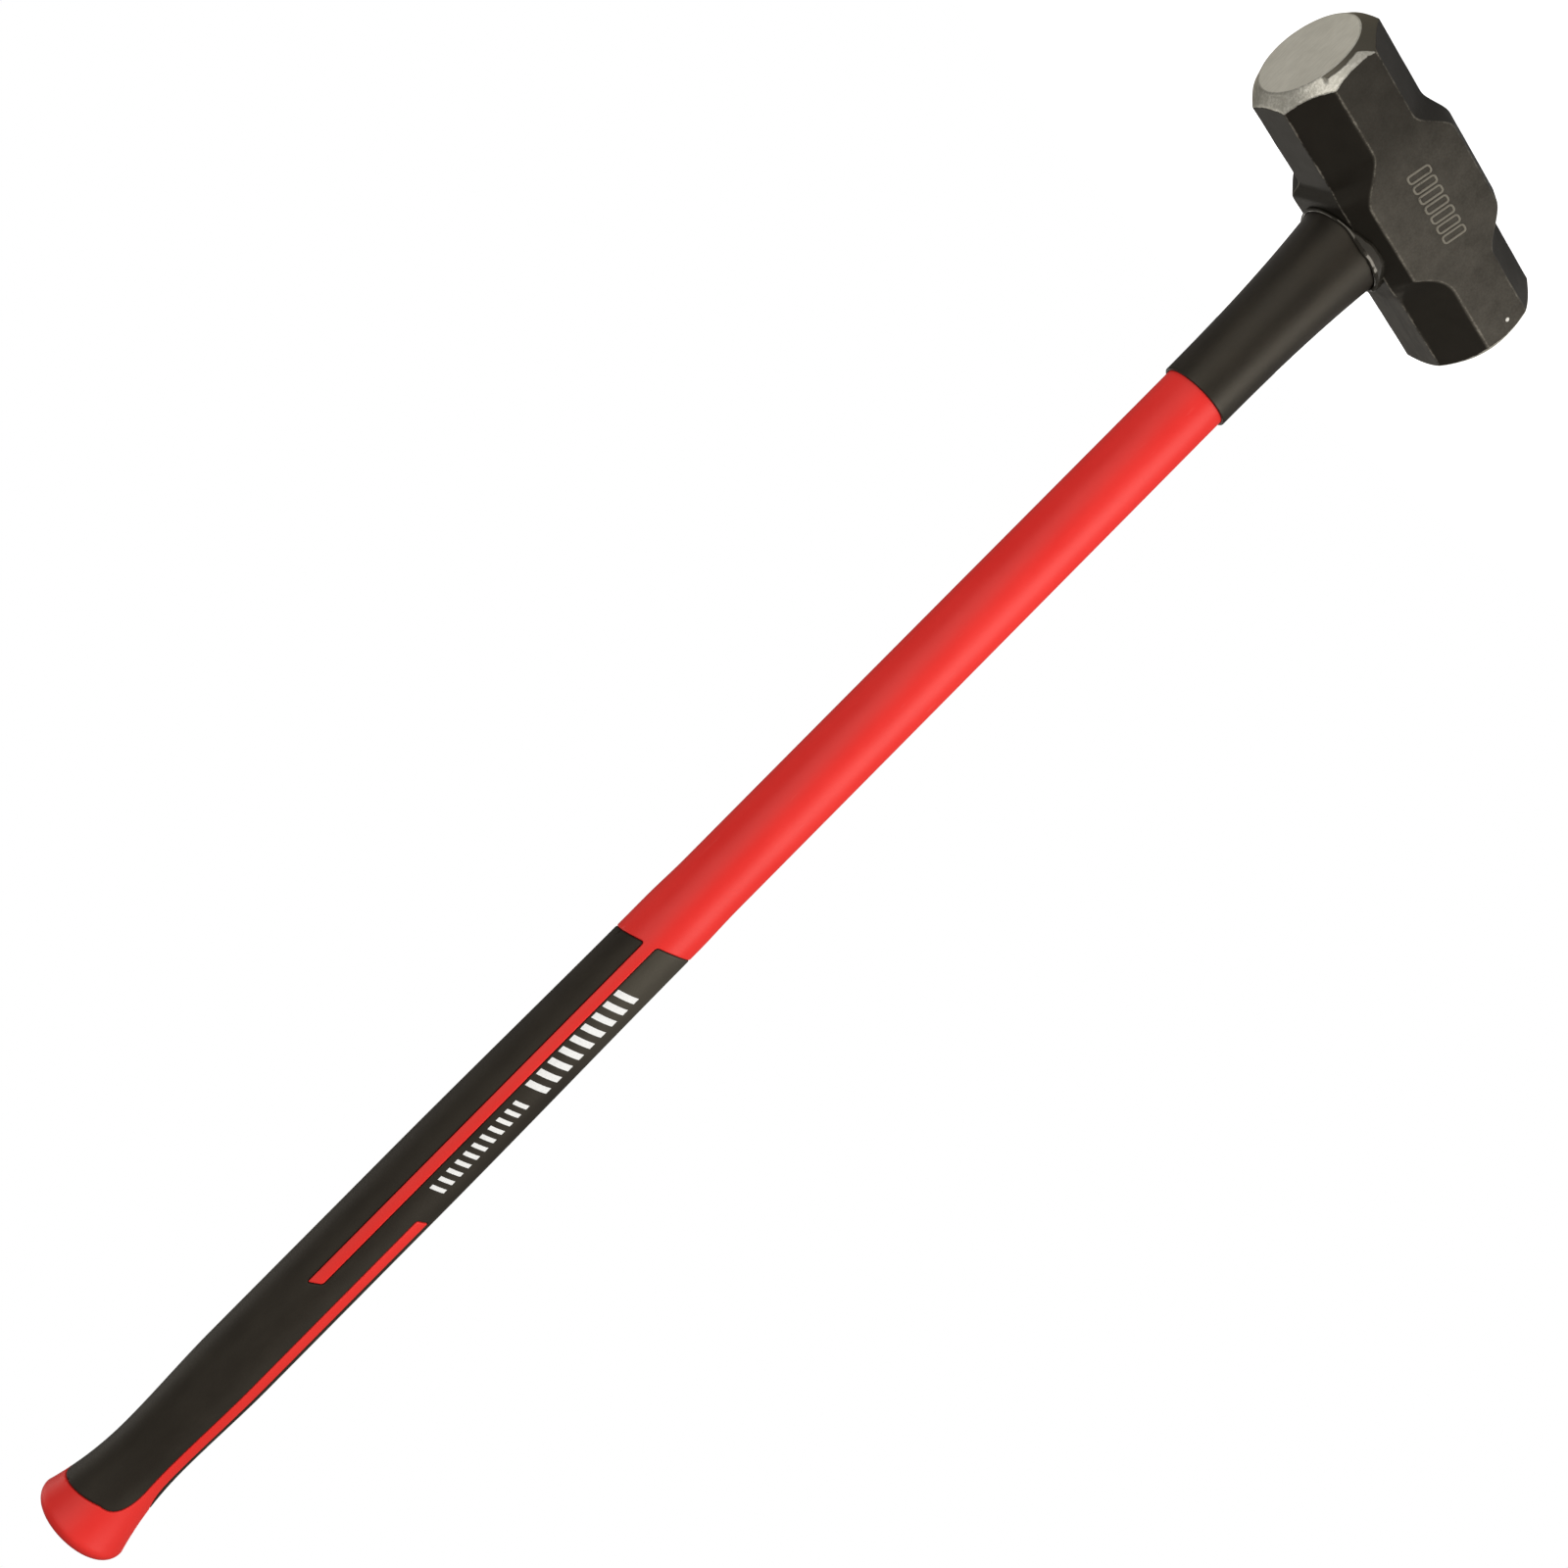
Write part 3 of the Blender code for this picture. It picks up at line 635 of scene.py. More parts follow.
def flat_point(centre, across, z):
    """A point of a stripe on the flat skin, from its distance across the stripe."""
    return (UNROLLED * (centre + math.asin(across / float(handle_radius(z)))), z)


def softened(line, radius):
    """A line with its corners rounded."""
    line = np.array(line)
    kept = [line[0]]
    for before, corner, after in zip(line, line[1:], line[2:]):
        back, ahead = before - corner, after - corner
        back_length, ahead_length = np.linalg.norm(back), np.linalg.norm(ahead)
        turn = math.acos(np.clip(-back @ ahead / (back_length * ahead_length), -1, 1))
        if turn < math.radians(20):
            kept.append(corner)
            continue
        start = corner + back * min(radius / back_length, 0.45)
        end = corner + ahead * min(radius / ahead_length, 0.45)
        for t in np.linspace(0, 1, 7):
            kept.append((1 - t) ** 2 * start + 2 * t * (1 - t) * corner + t ** 2 * end)
    return np.array(kept + [line[-1]])


def finer(line, step):
    """A line with points added so that none are further apart than a step."""
    parts = []
    for start, end in zip(line, line[1:]):
        count = max(int(math.ceil(np.linalg.norm(end - start) / step)), 1)
        parts.append(start + (end - start) * np.linspace(0, 1, count, endpoint=False)[:, None])
    return np.vstack(parts + [line[-1:]])


def long_side(centre, side):
    """One side of a long stripe on the flat skin, from its mouth to its end."""
    _, width, end, lean = LONG_STRIPE
    mouth = slanted(GRIP_TOP, centre + side * math.asin(width / 2 / handle_radius(GRIP_TOP)))
    return [flat_point(centre, side * width / 2, z) for z in np.linspace(mouth, end + side * lean, 30)]


def short_side(centre, side):
    """One side of a short stripe, from the rim round its wide elliptical mouth to its end."""
    _, width, end, lean = SHORT_STRIPE
    spread = math.asin((width / 2 + RIM_CORNER_WIDTH) / handle_radius(GRIP_RIM))
    rim = slanted(GRIP_RIM, centre + side * spread)
    points = []
    for turn in np.linspace(math.pi / 2, 0, 15):
        across = width / 2 + RIM_CORNER_WIDTH * (1 - math.cos(turn))
        points.append(flat_point(centre, side * across, rim - RIM_CORNER_HEIGHT * (1 - math.sin(turn))))
    heights = np.linspace(rim - RIM_CORNER_HEIGHT, end + side * lean, 24)[1:]
    return points + [flat_point(centre, side * width / 2, z) for z in heights]


def notched_edge(middle, angle, stripe_side):
    """A slanted edge of the grip across the flat skin, notched by the two stripes of one kind."""
    notches = []
    for centre in (angle - math.pi, angle):
        points = stripe_side(centre, -1) + stripe_side(centre, 1)[::-1]
        notches.append((points[0][0] / UNROLLED, points[-1][0] / UNROLLED, points))
    before_all = (0, -math.inf, [])
    after_all = (math.inf, 0, [])
    turns = np.linspace(SEAM_TURN - math.tau, SEAM_TURN, 73)
    line = []
    for (_, last, points), (following, _, _) in zip([before_all] + notches, notches + [after_all]):
        line += points
        line += [(t * UNROLLED, slanted(middle, t)) for t in turns
                 if last + CORNER_MARGIN < t < following - CORNER_MARGIN]
    return finer(softened(line, CORNER_RADIUS), OUTLINE_STEP)


def across_seam(line):
    """The line with both its ends on the seam, at one height."""
    line = line.copy()
    height = (line[0, 1] + line[-1, 1]) / 2
    line[0] = (SEAM_LEFT, height)
    line[-1] = (SEAM_RIGHT, height)
    return line


def beside(line, distance):
    """The line moved sideways, to its left if the distance is positive."""
    along = np.gradient(line, axis=0)
    along /= np.linalg.norm(along, axis=1)[:, None]
    return line + distance * np.column_stack([-along[:, 1], along[:, 0]])


def side_gap(points, line):
    """Distance from each point to the line, negative on its right."""
    start, run = line[:-1], np.diff(line, axis=0)
    length = (run ** 2).sum(1)
    gaps = []
    for chunk in np.array_split(points, max(len(points) // 2000, 1)):
        offset = chunk[:, None] - start
        share = np.clip((offset * run).sum(2) / length, 0, 1)
        apart = offset - share[..., None] * run
        distance = np.hypot(apart[..., 0], apart[..., 1])
        nearest = distance.argmin(1)
        pick = np.arange(len(chunk)), nearest
        turned = run[nearest, 0] * offset[pick][:, 1] - run[nearest, 1] * offset[pick][:, 0]
        gaps.append(np.copysign(distance[pick], turned))
    return np.concatenate(gaps)


TOP_LINE = across_seam(notched_edge(GRIP_TOP, LONG_STRIPE[0], long_side))
RIM_LINE = across_seam(notched_edge(GRIP_RIM, SHORT_STRIPE[0], short_side))


def grip_depth(points):
    """How far each point of the flat skin lies inside the grip's outline, negative outside."""
    return np.minimum(side_gap(points, TOP_LINE), -side_gap(points, RIM_LINE))


def rounded_drop(inside, radius):
    """How far a surface falls away near its edge, rounded to a radius."""
    short = np.clip(radius - inside, 0, radius)
    return radius - np.sqrt(radius ** 2 - short ** 2)


def skin_triangles(lines, loose, rows, keep):
    """Triangles over the flat skin: constrained along lines, with loose points kept by a rule."""
    grid = np.array([(s, z) for z in rows for s in COLUMN_PLACES[1:-1]])
    extra = np.vstack([grid] + loose)
    extra = extra[keep(grip_depth(extra))]
    points, edges = [], []
    for line in lines:
        edges += [(len(points) + i, len(points) + i + 1) for i in range(len(line) - 1)]
        points += [tuple(p) for p in line]
    points += [tuple(p) for p in extra]
    scale = 1 / MM
    made = geometry.delaunay_2d_cdt([Vector((s * scale, z * scale)) for s, z in points], edges, [], 1, 1e-4)
    flat = np.array([tuple(v) for v in made[0]]) * MM
    left = {round(z / MM, 2): i for i, (s, z) in enumerate(flat) if s < SEAM_LEFT + 0.01 * MM}
    merged = list(range(len(flat)))
    for i, (s, z) in enumerate(flat):
        if s > SEAM_RIGHT - 0.01 * MM:
            merged[i] = left[round(z / MM, 2)]
    return flat, [[merged[i] for i in face] for face in made[2]]


def wrapped(flat, radius):
    """Flat skin points put round the handle."""
    turn = flat[:, 0] / UNROLLED
    return np.column_stack([radius * np.sin(turn), -radius * np.cos(turn), flat[:, 1]])


def seams(rows):
    """The two seam lines of the flat skin."""
    return [np.array([(s, z) for z in rows]) for s in (SEAM_LEFT, SEAM_RIGHT)]


def skin_rows(low, high):
    """Row heights, closer together in the flare of the butt."""
    rows = [low]
    while rows[-1] < high:
        rows.append(rows[-1] + (ROW_STEP if rows[-1] < NECK_HEIGHT else ROW_STEP / 2))
    rows[-1] = high
    return np.array(rows)


def ring_at(radius, z):
    """A ring of points round the handle, in the order of the skin's columns."""
    turns = np.linspace(SEAM_TURN - math.tau, SEAM_TURN, COLUMNS, endpoint=False)
    return [(radius * math.sin(t), -radius * math.cos(t), z) for t in turns]


JACKET_EDGE = 0.5 * MM  # rounding where the red stands beside the grip
EDGE_INSETS = (0.1 * MM, 0.25 * MM, 0.55 * MM, 1 * MM)  # rows of points that round it
WALL_FOOT = 0.12 * MM  # gap at the foot of the pocket's wall


def jacket_mesh():
    """The jacket's skin with its pocket, closed by the domed butt and the bore of the core."""
    rows = skin_rows(TUBE_LOW, BUTT_EDGE_HEIGHT)
    lines, loose = [], []
    for line, out in ((TOP_LINE, -1), (RIM_LINE, 1)):
        lines += [across_seam(beside(line, out * gap)) for gap in (GAP, WALL_FOOT)]
        loose += [beside(line, out * (GAP + inset))[1:-1] for inset in EDGE_INSETS]
    ends = [np.array([(s, z) for s in COLUMN_PLACES]) for z in (rows[0], rows[-1])]
    seam_rows = sorted(set(rows) | {line[0, 1] for line in lines})

    def keep(depth):
        return (depth < -GAP - 0.08 * MM) | (depth > 1.2 * MM)

    flat, faces = skin_triangles(lines + ends + seams(seam_rows), loose, rows[1:-1], keep)
    depth = grip_depth(flat)
    drop = rounded_drop(-depth - GAP, JACKET_EDGE)
    drop = np.where(depth > -(GAP + WALL_FOOT) / 2, GRIP_THICKNESS + GAP, drop)
    points = [tuple(p) for p in wrapped(flat, handle_radius(flat[:, 1]) - drop)]
    low_ring, high_ring = ([i for i in np.argsort(flat[:, 0]) if abs(flat[i, 1] - z) < 0.01 * MM][:COLUMNS]
                           for z in (rows[0], rows[-1]))
    end_rings = []
    for turn in np.linspace(80, 0, 9):
        rise = math.radians(turn)
        end_rings.append((BUTT_RADIUS - BUTT_EDGE * (1 - math.sin(rise)),
                          BUTT_EDGE_HEIGHT + BUTT_EDGE * math.cos(rise)))
    edge_radius = BUTT_RADIUS - BUTT_EDGE
    for share in (0.93, 0.8, 0.6, 0.4, 0.2, 0.05):
        end_rings.append((edge_radius * share, BUTT - BUTT_DOME * share ** 2))
    bore_rings = [(CORE_BORE, z) for z in np.linspace(rows[0], CORE_TOP, 8)] + [(0.3 * MM, CORE_TOP)]
    for rim, rings, tip in ((high_ring, end_rings, BUTT), (low_ring, bore_rings, CORE_TOP)):
        closed_off(points, faces, rim, [ring_at(radius, z) for radius, z in rings], (0, 0, tip))
    return closed_mesh("handle_skin", points, faces, 50)


RED = (0.93, 0.040, 0.034)
RED_DEEP = (0.89, 0.032, 0.027)
RED_SCUFFED = (0.9, 0.25, 0.22)


def jacket_finish():
    """Satin red polypropylene with faint flow clouds, fine texture and hairline scuffs."""
    finish, wire, place = new_finish("red_polypropylene")
    flow = place.clouds(22 * MM, 3.0, (1, 1, 0.35))
    texture = place.clouds(0.7 * MM, 2.0)
    scuffs = place.clouds(1.6 * MM, 5.0, (1, 1, 0.06)).between(0.66, 0.8)
    colour = flow.between(0.3, 0.7).tint(RED_DEEP, RED)
    colour = (scuffs * 0.3).tint(colour, RED_SCUFFED)
    height = texture * 0.6 + scuffs * 0.4 + flow
    surfaced(wire, Base_Color=colour, Roughness=texture * 0.12 + flow * 0.08 + 0.34 + scuffs * 0.1,
             Specular_IOR_Level=0.25, Normal=wire.bumped(height, 0.3, 0.12 * MM))
    return finish


jacket = shown("red_jacket", jacket_mesh(), jacket_finish())
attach(jacket, "root")
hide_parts("handle_jacket")

# ----- soft grip
# A band of black thermoplastic rubber, moulded in a second shot into the jacket's pocket. Its edges
# are rounded over and its skin is matt and finely grained.

GRIP_EDGE = 0.8 * MM  # rounding of its edges
GRIP_INSETS = (0.07 * MM, 0.2 * MM, 0.42 * MM, 0.8 * MM, 1.3 * MM)  # rows of points that round them
GRID_INSET = 1.8 * MM  # the plain rows of points start this far in


def grip_mesh():
    """The grip's outer and inner skins, joined round all its edges."""
    rows = skin_rows(GRIP_TOP - 2 * GRIP_RISE, GRIP_RIM + 2 * GRIP_RISE)
    seam_rows = [z for z in rows if TOP_LINE[0, 1] + 1 * MM < z < RIM_LINE[0, 1] - 1 * MM]
    seam_rows = [TOP_LINE[0, 1]] + seam_rows + [RIM_LINE[0, 1]]
    loose = [beside(line, side * inset)[1:-1] for line, side in ((TOP_LINE, 1), (RIM_LINE, -1))
             for inset in GRIP_INSETS]
    grid_count = len(rows) * (COLUMNS - 1)

    def keep(depth):
        in_grid = np.arange(len(depth)) < grid_count
        near_edge = (depth > 0.05 * MM) & (depth < 1.45 * MM)
        return (near_edge & ~in_grid) | ((depth > GRID_INSET) & in_grid)

    flat, faces = skin_triangles([TOP_LINE, RIM_LINE] + seams(seam_rows), loose, rows, keep)
    depth = grip_depth(flat)
    outer = handle_radius(flat[:, 1])
    skin = wrapped(flat, outer - rounded_drop(depth, GRIP_EDGE))
    lining = wrapped(flat, outer - GRIP_THICKNESS)
    count = len(flat)
    sides = {}
    for face in faces:
        for a, b in zip(face, face[1:] + face[:1]):
            sides[(a, b)] = sides.get((a, b), 0) + 1
    rim = [(a, b) for a, b in sides if (b, a) not in sides]
    faces += [[i + count for i in reversed(face)] for face in faces]
    faces += [(b, a, a + count, b + count) for a, b in rim]
    return closed_mesh("grip_skin", np.vstack([skin, lining]), faces, 60)


RUBBER = (0.0190, 0.0155, 0.0125)
RUBBER_DUSTY = (0.0290, 0.0245, 0.0195)
# The paler colour of a painted sheen on the grip, standing in for the key light's highlight.
RUBBER_PAINTED_SHEEN = (0.062, 0.056, 0.045)
PAINTED_SHEEN_REACH = 90 * MM  # a painted sheen makes one side paler this far from the grip's edge toward the head


def grip_finish():
    """Matt black rubber with a fine moulded grain, a little dust, and a painted sheen on one side near its
    edge toward the head.
    """
    finish, wire, place = new_finish("black_rubber")
    grain = place.clouds(0.8 * MM, 3.0)
    patches = place.clouds(18 * MM, 3.0, (1, 1, 0.5))
    colour = patches.between(0.3, 0.75).tint(RUBBER, RUBBER_DUSTY)
    x, _, z = place.parts()
    # Painted sheen: the -X side near the grip's edge toward the head is tinted paler where the key light's
    # highlight falls.
    paler_zone = z.between(GRIP_TOP + PAINTED_SHEEN_REACH, GRIP_TOP) * x.between(10 * MM, 5 * MM)
    colour = (paler_zone * (patches * 0.8 + 0.5)).tint(colour, RUBBER_PAINTED_SHEEN)
    surfaced(wire, Base_Color=colour, Roughness=grain * 0.15 + 0.46 + patches * 0.08,
             Specular_IOR_Level=0.27, Specular_Tint=BLACK_SHEEN,
             Normal=wire.bumped(grain + patches * 0.5, 0.5, 0.1 * MM))
    return finish


grip = shown("soft_grip", grip_mesh(), grip_finish())
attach(grip, "root")
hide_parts("grip_overmould")

# ----- printed bars
# The maker's print on the grip, here only a generic band of leaning white bars: a row of tall ones
# and then a row of short ones, in pad-printed ink a tenth of a millimetre thick.

INK_THICKNESS = 0.1 * MM
INK_LIFT = 0.02 * MM  # the ink's middle above the rubber
INK_THIN = (0.84, 0.86, 0.90)
INK_FULL = (0.95, 0.97, 1.0)


def print_tree(sizes, look):
    """Leaning bars in a row along the handle, wrapped onto its surface."""
    tree, wire, size = pattern_tree("printed_bars", sizes)
    block = wire.add("GeometryNodeMeshCube", None,
                     {"Size": joined_xyz(wire, size["Height"], size["Ink"], size["Width"]),
                      "Vertices X": 9, "Vertices Y": 2, "Vertices Z": 2})
    x, y, z = here(wire)
    leaning = moved(wire, block, joined_xyz(wire, x, y, z + x * size["Lean"]))
    row = repeated(wire, leaning, size["First"], size["Pitch"], size["Count"], "Z")
    surface = wire.add("ShaderNodeMapRange", {"interpolation_type": "SMOOTHSTEP"},
                       {0: z, 1: size["Swell Start"], 2: size["Swell End"],
                        3: size["Start Radius"], 4: size["End Radius"]})
    turn = x / surface + size["Middle Turn"]
    radius = surface + INK_LIFT - y
    sine = turn.math("SINE", turn)
    cosine = turn.math("COSINE", turn)
    curved = moved(wire, row, joined_xyz(wire, radius * sine, radius * cosine * -1, z))
    finished_tree(wire, curved, look, smooth=False)
    return tree


def ink_finish():
    """White pad-printed ink, a little thin in places."""
    finish, wire, place = new_finish("white_ink")
    thin = place.clouds(1.5 * MM, 4.0)
    surfaced(wire, Base_Color=thin.between(0.2, 0.6).tint(INK_THIN, INK_FULL),
             Roughness=thin * 0.15 + 0.5, Normal=wire.bumped(thin, 0.2, 0.05 * MM))
    return finish


ink = ink_finish()
swell = {"Swell Start": HANDLE_STATIONS[2][0], "Swell End": HANDLE_STATIONS[3][0],
         "Start Radius": HANDLE_STATIONS[2][1], "End Radius": HANDLE_STATIONS[3][1]}
BAR_ROWS = (  # name, count, pitch, height of the first one, width and height of a bar
    ("printed_bars_tall", 9, 7.2 * MM, 549 * MM, 3.4 * MM, 11.5 * MM),
    ("printed_bars_short", 11, 5.4 * MM, 618 * MM, 2.3 * MM, 7.5 * MM),
)
for name, count, pitch, first, width, height in BAR_ROWS:
    bar_sizes = {"Count": count, "Pitch": pitch, "First": first, "Width": width, "Height": height,
                 **swell, "Ink": INK_THICKNESS, "Lean": 0.25, "Middle Turn": math.radians(3)}
    bars = grown_piece(name, print_tree(bar_sizes, ink), bar_sizes)
    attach(bars, "root")

# ----- overstrike sleeve
# A black polypropylene guard pushed down the handle onto the boss. It takes the blow when a strike
# misses, flares toward the head and has a skirt that follows the sides of the boss.

SLEEVE_LENGTH = 98.7 * MM
SLEEVE_LIP = 2 * BOSS_HALF + SLEEVE_LENGTH
SLEEVE_WALL = 1.3 * MM
SLEEVE_LIP_RADIUS = float(handle_radius(SLEEVE_LIP)) + GAP + SLEEVE_WALL
SLEEVE_FLARE = 4.6 * MM
SLEEVE_FLARE_POWER = 2.4
SLEEVE_EDGE = 0.5 * MM  # rounding of its lip
SLEEVE_BORE = 17.3 * MM  # at its foot
BOSS_FALL = BOSS_SLOPE_HEIGHT / BOSS_SLOPE_WIDTH
SLEEVE_BLACK = (0.0085, 0.0066, 0.0050)
SLEEVE_FLOWED = (0.0165, 0.0130, 0.0095)


def sleeve_radius(share):
    """Outer radius of the sleeve, from its lip at 0 to its foot at 1."""
    return SLEEVE_LIP_RADIUS + SLEEVE_FLARE * share ** SLEEVE_FLARE_POWER


def foot_height(turn, radius):
    """Height at which the sleeve's skirt ends, just above the boss."""
    across = abs(radius * math.cos(turn))
    return 2 * BOSS_HALF - max(across - FLAT_HALF, 0) * BOSS_FALL + GAP


def sleeve_profile(turn):
    """Closed (radius, height) profile: lip, outside, foot and inside."""
    profile = []
    for t in np.linspace(0, math.pi / 2, 5):
        profile.append((SLEEVE_LIP_RADIUS - SLEEVE_EDGE * (1 - math.sin(t)),
                        SLEEVE_LIP - SLEEVE_EDGE * (1 - math.cos(t))))
    for share in np.linspace(0.02, 1, 34):
        profile.append((sleeve_radius(share), SLEEVE_LIP - SLEEVE_LENGTH * share))
    foot = sleeve_radius(1)
    end = foot_height(turn, foot)
    profile[-1] = (foot, max(profile[-1][1], end + 0.6 * MM))
    profile += [(foot, end + 0.25 * MM), (foot - 0.3 * MM, end)]
    heights = np.linspace(foot_height(turn, SLEEVE_BORE), SLEEVE_LIP, 12)
    return profile + [(float(handle_radius(z)) + GAP, z) for z in heights]


def sleeve_mesh(steps=120):
    points = []
    for turn in np.linspace(0, math.tau, steps, endpoint=False):
        for radius, z in sleeve_profile(turn):
            points.append((radius * math.sin(turn), -radius * math.cos(turn), z))
    count = len(points) // steps
    faces = []
    for i in range(steps):
        faces += bridged(i * count, (i + 1) % steps * count, count)
    return closed_mesh("sleeve_skin", points, faces, 40)


def sleeve_finish():
    """Satin black polypropylene with faint flow marks along its length."""
    finish, wire, place = new_finish("black_polypropylene")
    grain = place.clouds(0.9 * MM, 3.0)
    flow = place.clouds(9 * MM, 3.0, (1, 1, 0.3))
    surfaced(wire, Base_Color=flow.between(0.3, 0.75).tint(SLEEVE_BLACK, SLEEVE_FLOWED),
             Roughness=grain * 0.12 + flow * 0.1 + 0.38, Specular_IOR_Level=0.46,
             Specular_Tint=BLACK_SHEEN, Normal=wire.bumped(grain * 0.5 + flow, 0.35, 0.15 * MM))
    return finish


sleeve = shown("overstrike_guard", sleeve_mesh(), sleeve_finish())
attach(sleeve, "root")
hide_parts("overstrike_sleeve")

# ----- glue bead
# Adhesive squeezed out round the sleeve's foot when it was pushed home. It set as an uneven collar
# on the boss, with a lump where it ran and less of it toward +X, and it stayed glossy.

BEAD_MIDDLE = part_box("glue_bead")[1].x - 1.7 * MM  # radius of the collar's middle line
LUMP_PLACE = (-19 * MM, -13 * MM, 0)
LUMP_REACH = (7 * MM, 2 * MM)
STARVED_ZONE = (6 * MM, 20 * MM)  # the collar gets lower between these, along X
SWELLING_SIZE = 7 * MM
GLUE_DARK = (0.010, 0.009, 0.007)
GLUE_PALE = (0.028, 0.025, 0.020)


def bead_tree(sizes, look):
    """A tall bead on a ring, swollen by noise and stretched down to the slopes of the boss."""
    tree, wire, size = pattern_tree("glue_bead", sizes)
    bead = wire.add("GeometryNodeCurveToMesh", None,
                    {"Curve": ring_curve(wire, 200, size["Ring Radius"]),
                     "Profile Curve": ring_curve(wire, 12, size["Bead Radius"])})
    bead_normal = wire.add("GeometryNodeInputNormal")
    place = wire.add("GeometryNodeInputPosition")
    swelling = wire.add("ShaderNodeTexNoise", {"noise_dimensions": "4D"},
                        {"Vector": place, "W": size["Seed"], "Scale": 1 / SWELLING_SIZE, "Detail": 2.0})
    lump = place.away_from(LUMP_PLACE).between(*LUMP_REACH)
    grown = (swelling - 0.45) * size["Unevenness"] + lump * size["Lump"] * swelling
    push = wire.add("ShaderNodeVectorMath", {"operation": "SCALE"}, {0: bead_normal, "Scale": grown})
    swollen = wire.add("GeometryNodeSetPosition", None, {"Geometry": bead, "Offset": push})
    x, y, z = here(wire)
    past = wire.math("MAXIMUM", abs(y) - size["Flat Half Width"], 0.0)
    below = wire.math("MINIMUM", z, 0.0)
    share = 1 - x.between(*STARVED_ZONE) * size["Starved By"]
    height = (z * size["Tallness"] + size["Lift"]) * share + size["Seat"]
    height = height + below * past * size["Fall"] / size["Bead Radius"]
    laid = moved(wire, swollen, joined_xyz(wire, x, y, height))
    finished_tree(wire, laid, look)
    return tree


def bead_finish():
    """Set adhesive: dark, smooth and wet-looking."""
    finish, wire, place = new_finish("set_adhesive")
    cloud = place.clouds(3 * MM, 2.0)
    surfaced(wire, Base_Color=cloud.tint(GLUE_DARK, GLUE_PALE), Roughness=cloud * 0.12 + 0.14,
             Coat_Weight=0.5, Specular_Tint=BLACK_SHEEN, Normal=wire.bumped(cloud, 0.2, 0.1 * MM))
    return finish


bead_sizes = {
    "Ring Radius": BEAD_MIDDLE, "Bead Radius": 0.95 * MM, "Unevenness": 1.0 * MM, "Seed": 3.0,
    "Tallness": 2.5, "Lump": 1.2 * MM, "Starved By": 0.6, "Lift": 2.1 * MM, "Seat": 2 * BOSS_HALF,
    "Flat Half Width": FLAT_HALF, "Fall": BOSS_FALL,
}
bead = grown_piece("glue_run", bead_tree(bead_sizes, bead_finish()), bead_sizes)
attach(bead, "root")
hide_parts("glue_bead")

# ----- studio
# A small pale table under a white sky. A large softbox stands low at the front left, one stands level
# at the right, and two weak ones light the back. The camera looks level at the hammer and is rolled,
# so the handle runs down to the left.

TABLE_RADIUS = 0.45
TABLE_TONES = ((0.70, 0.70, 0.70), (0.74, 0.74, 0.74))
WARM = (1, 0.965, 0.90)


def studio_floor():
    finish, wire, place = new_finish("pale_floor")
    tone = place.clouds(0.4, 2.0).tint(*TABLE_TONES)
    camera_ray = wire.add("ShaderNodeLightPath", output="Is Camera Ray")
    paper = wire.add("ShaderNodeBsdfDiffuse", None, {"Color": tone})
    glow = wire.add("ShaderNodeEmission", None,
                    {"Color": (1, 1, 1, 1), "Strength": camera_ray * 0.97 + 0.16})
    both = wire.add("ShaderNodeAddShader", None, {0: paper, 1: glow})
    wire.add("ShaderNodeOutputMaterial", None, {"Surface": both})
    bm = bmesh.new()
    bmesh.ops.create_circle(bm, cap_ends=True, segments=96, radius=TABLE_RADIUS)
    mesh = bpy.data.meshes.new("floor")
    bm.to_mesh(mesh)
    bm.free()
    floor = shown("floor", mesh, finish)
    floor.location.z = -0.2 * MM


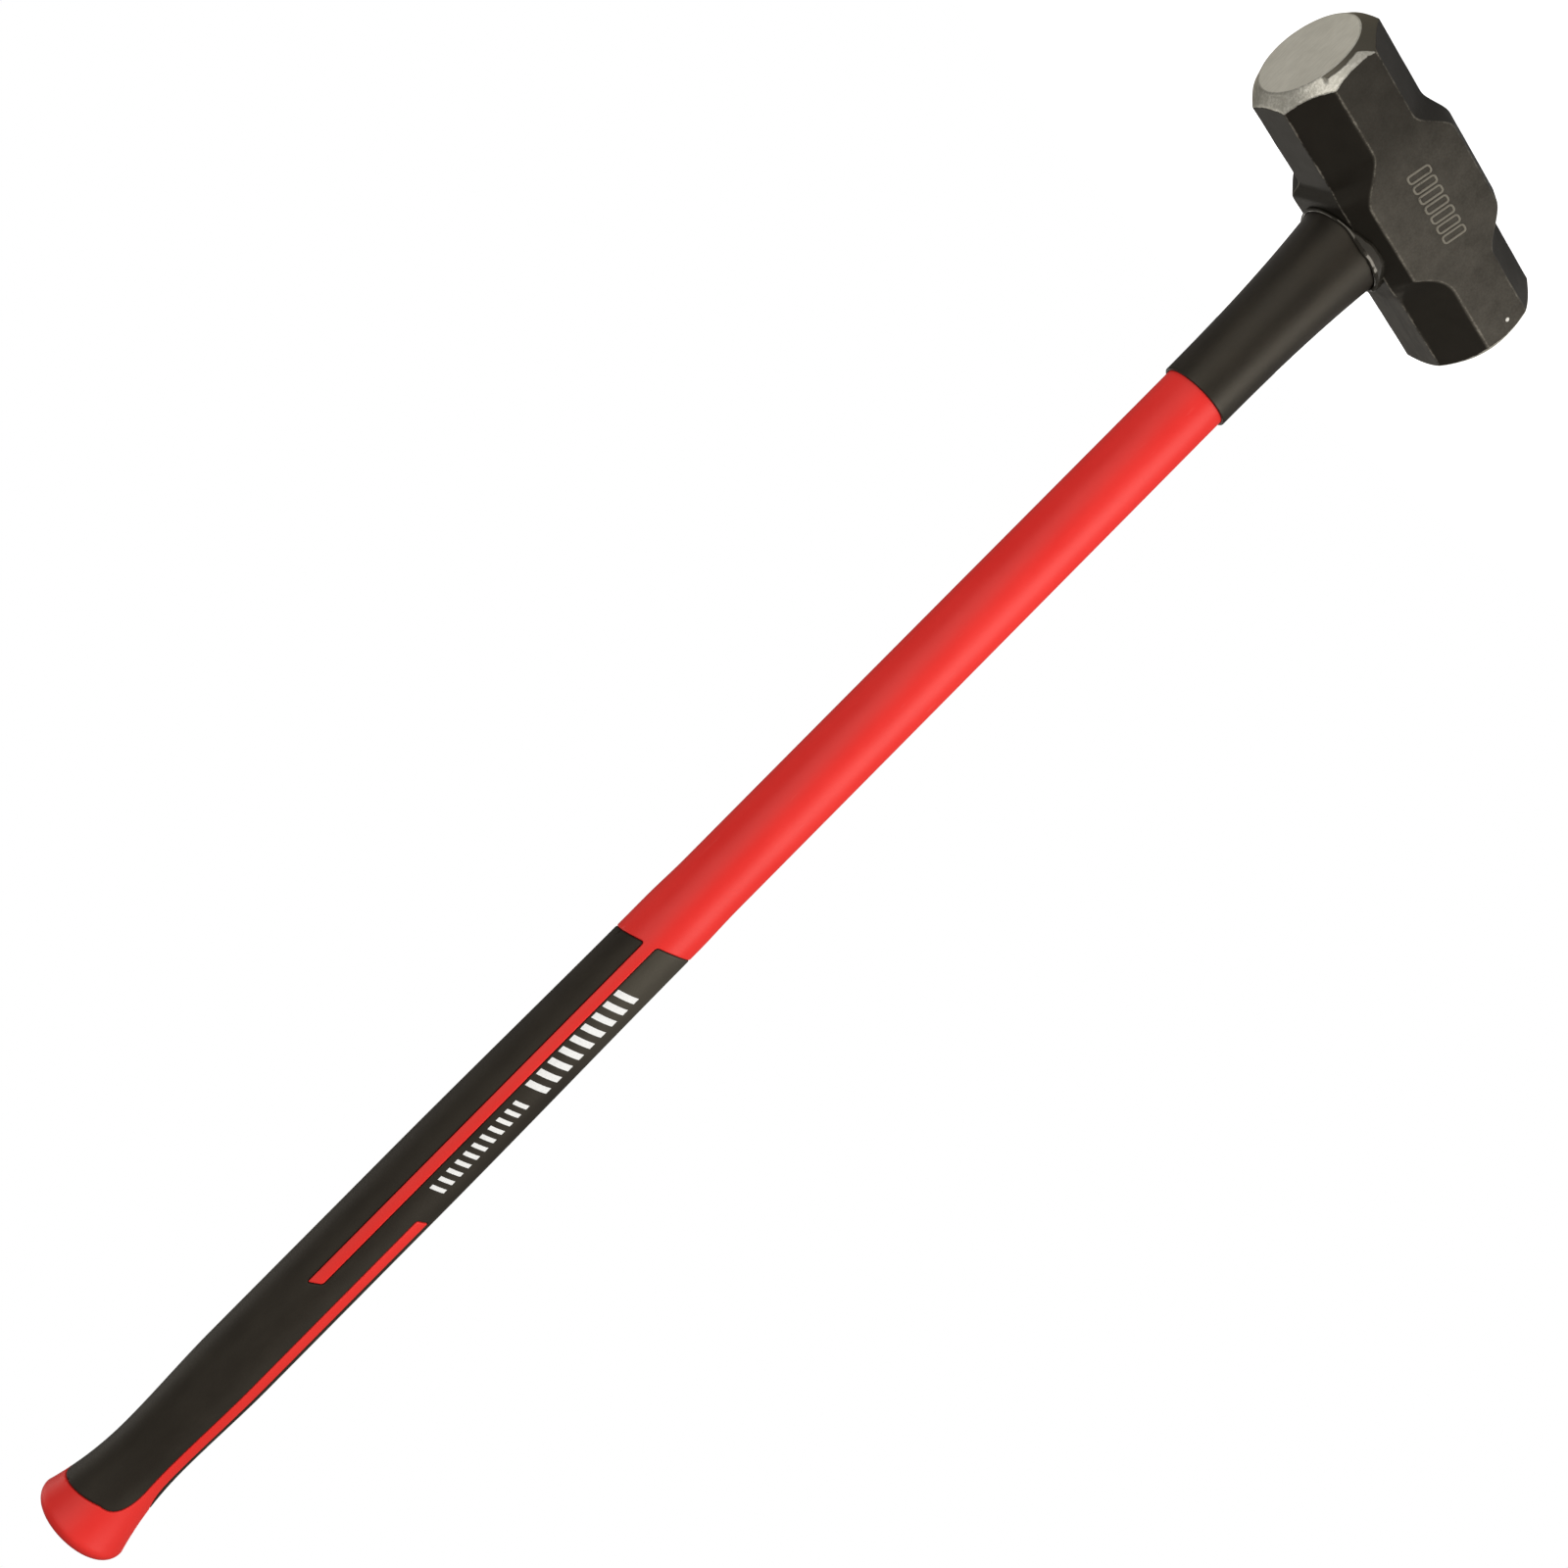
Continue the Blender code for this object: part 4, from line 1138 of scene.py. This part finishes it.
def softbox(name, azimuth, elevation, distance, width, height, power):
    """A large area light, aimed at the middle of the hammer."""
    light = bpy.data.lights.new(name, "AREA")
    light.shape = "RECTANGLE"
    light.color = WARM
    light.size = width
    light.size_y = height
    light.energy = power
    lamp = bpy.data.objects.new(name, light)
    bpy.context.scene.collection.objects.link(lamp)
    a, e = math.radians(azimuth), math.radians(elevation)
    back = Vector((math.sin(a) * math.cos(e), -math.cos(a) * math.cos(e), math.sin(e)))
    lamp.location = Vector((0, 0, BUTT / 2)) + back * distance
    lamp.rotation_euler = back.to_track_quat("Z", "Y").to_euler()


def studio_sky(seen, lit):
    """A white world: full brightness to the camera, weaker as a light."""
    world = bpy.data.worlds.new("studio")
    world.use_nodes = True
    world.node_tree.nodes.clear()
    wire = Wire(world.node_tree)
    camera_ray = wire.add("ShaderNodeLightPath", output="Is Camera Ray")
    sky = wire.add("ShaderNodeBackground", None,
                   {"Color": camera_ray.tint(WARM, (1, 1, 1)), "Strength": camera_ray * (seen - lit) + lit})
    wire.add("ShaderNodeOutputWorld", None, {"Surface": sky})
    bpy.context.scene.world = world


def studio_camera(azimuth, roll, right_shift, distance, height):
    """A level camera round the handle's axis, rolled about its own line of sight."""
    lens = bpy.data.cameras.new("camera")
    lens.lens = 50
    lens.sensor_width = 36
    camera = bpy.data.objects.new("camera", lens)
    bpy.context.scene.collection.objects.link(camera)
    a, r = math.radians(azimuth), math.radians(roll)
    right = Vector((math.cos(a), math.sin(a), 0))
    back = Vector((math.sin(a), -math.cos(a), 0))
    across = math.cos(r) * right + math.sin(r) * Vector((0, 0, 1))
    turned = Matrix((across, back.cross(across), back)).transposed()
    place = Vector((0, 0, height)) + right * right_shift + back * distance
    camera.matrix_world = Matrix.Translation(place) @ turned.to_4x4()
    bpy.context.scene.camera = camera


studio_floor()
softbox("key_light", -36, -11, 1.5, 1.0, 1.5, 21)
softbox("fill_light", 60, 0, 1.6, 1.5, 1.6, 14)
softbox("rear_light", -147, 24, 1.6, 0.9, 0.9, 3.5)
softbox("rim_light", 149, 34, 1.6, 0.9, 0.9, 3.5)
studio_sky(1.0, 0.15)
studio_camera(33.2, -135.24, 8.8 * MM, 1.0148, 0.4285)
bpy.context.scene.view_settings.view_transform = "Standard"
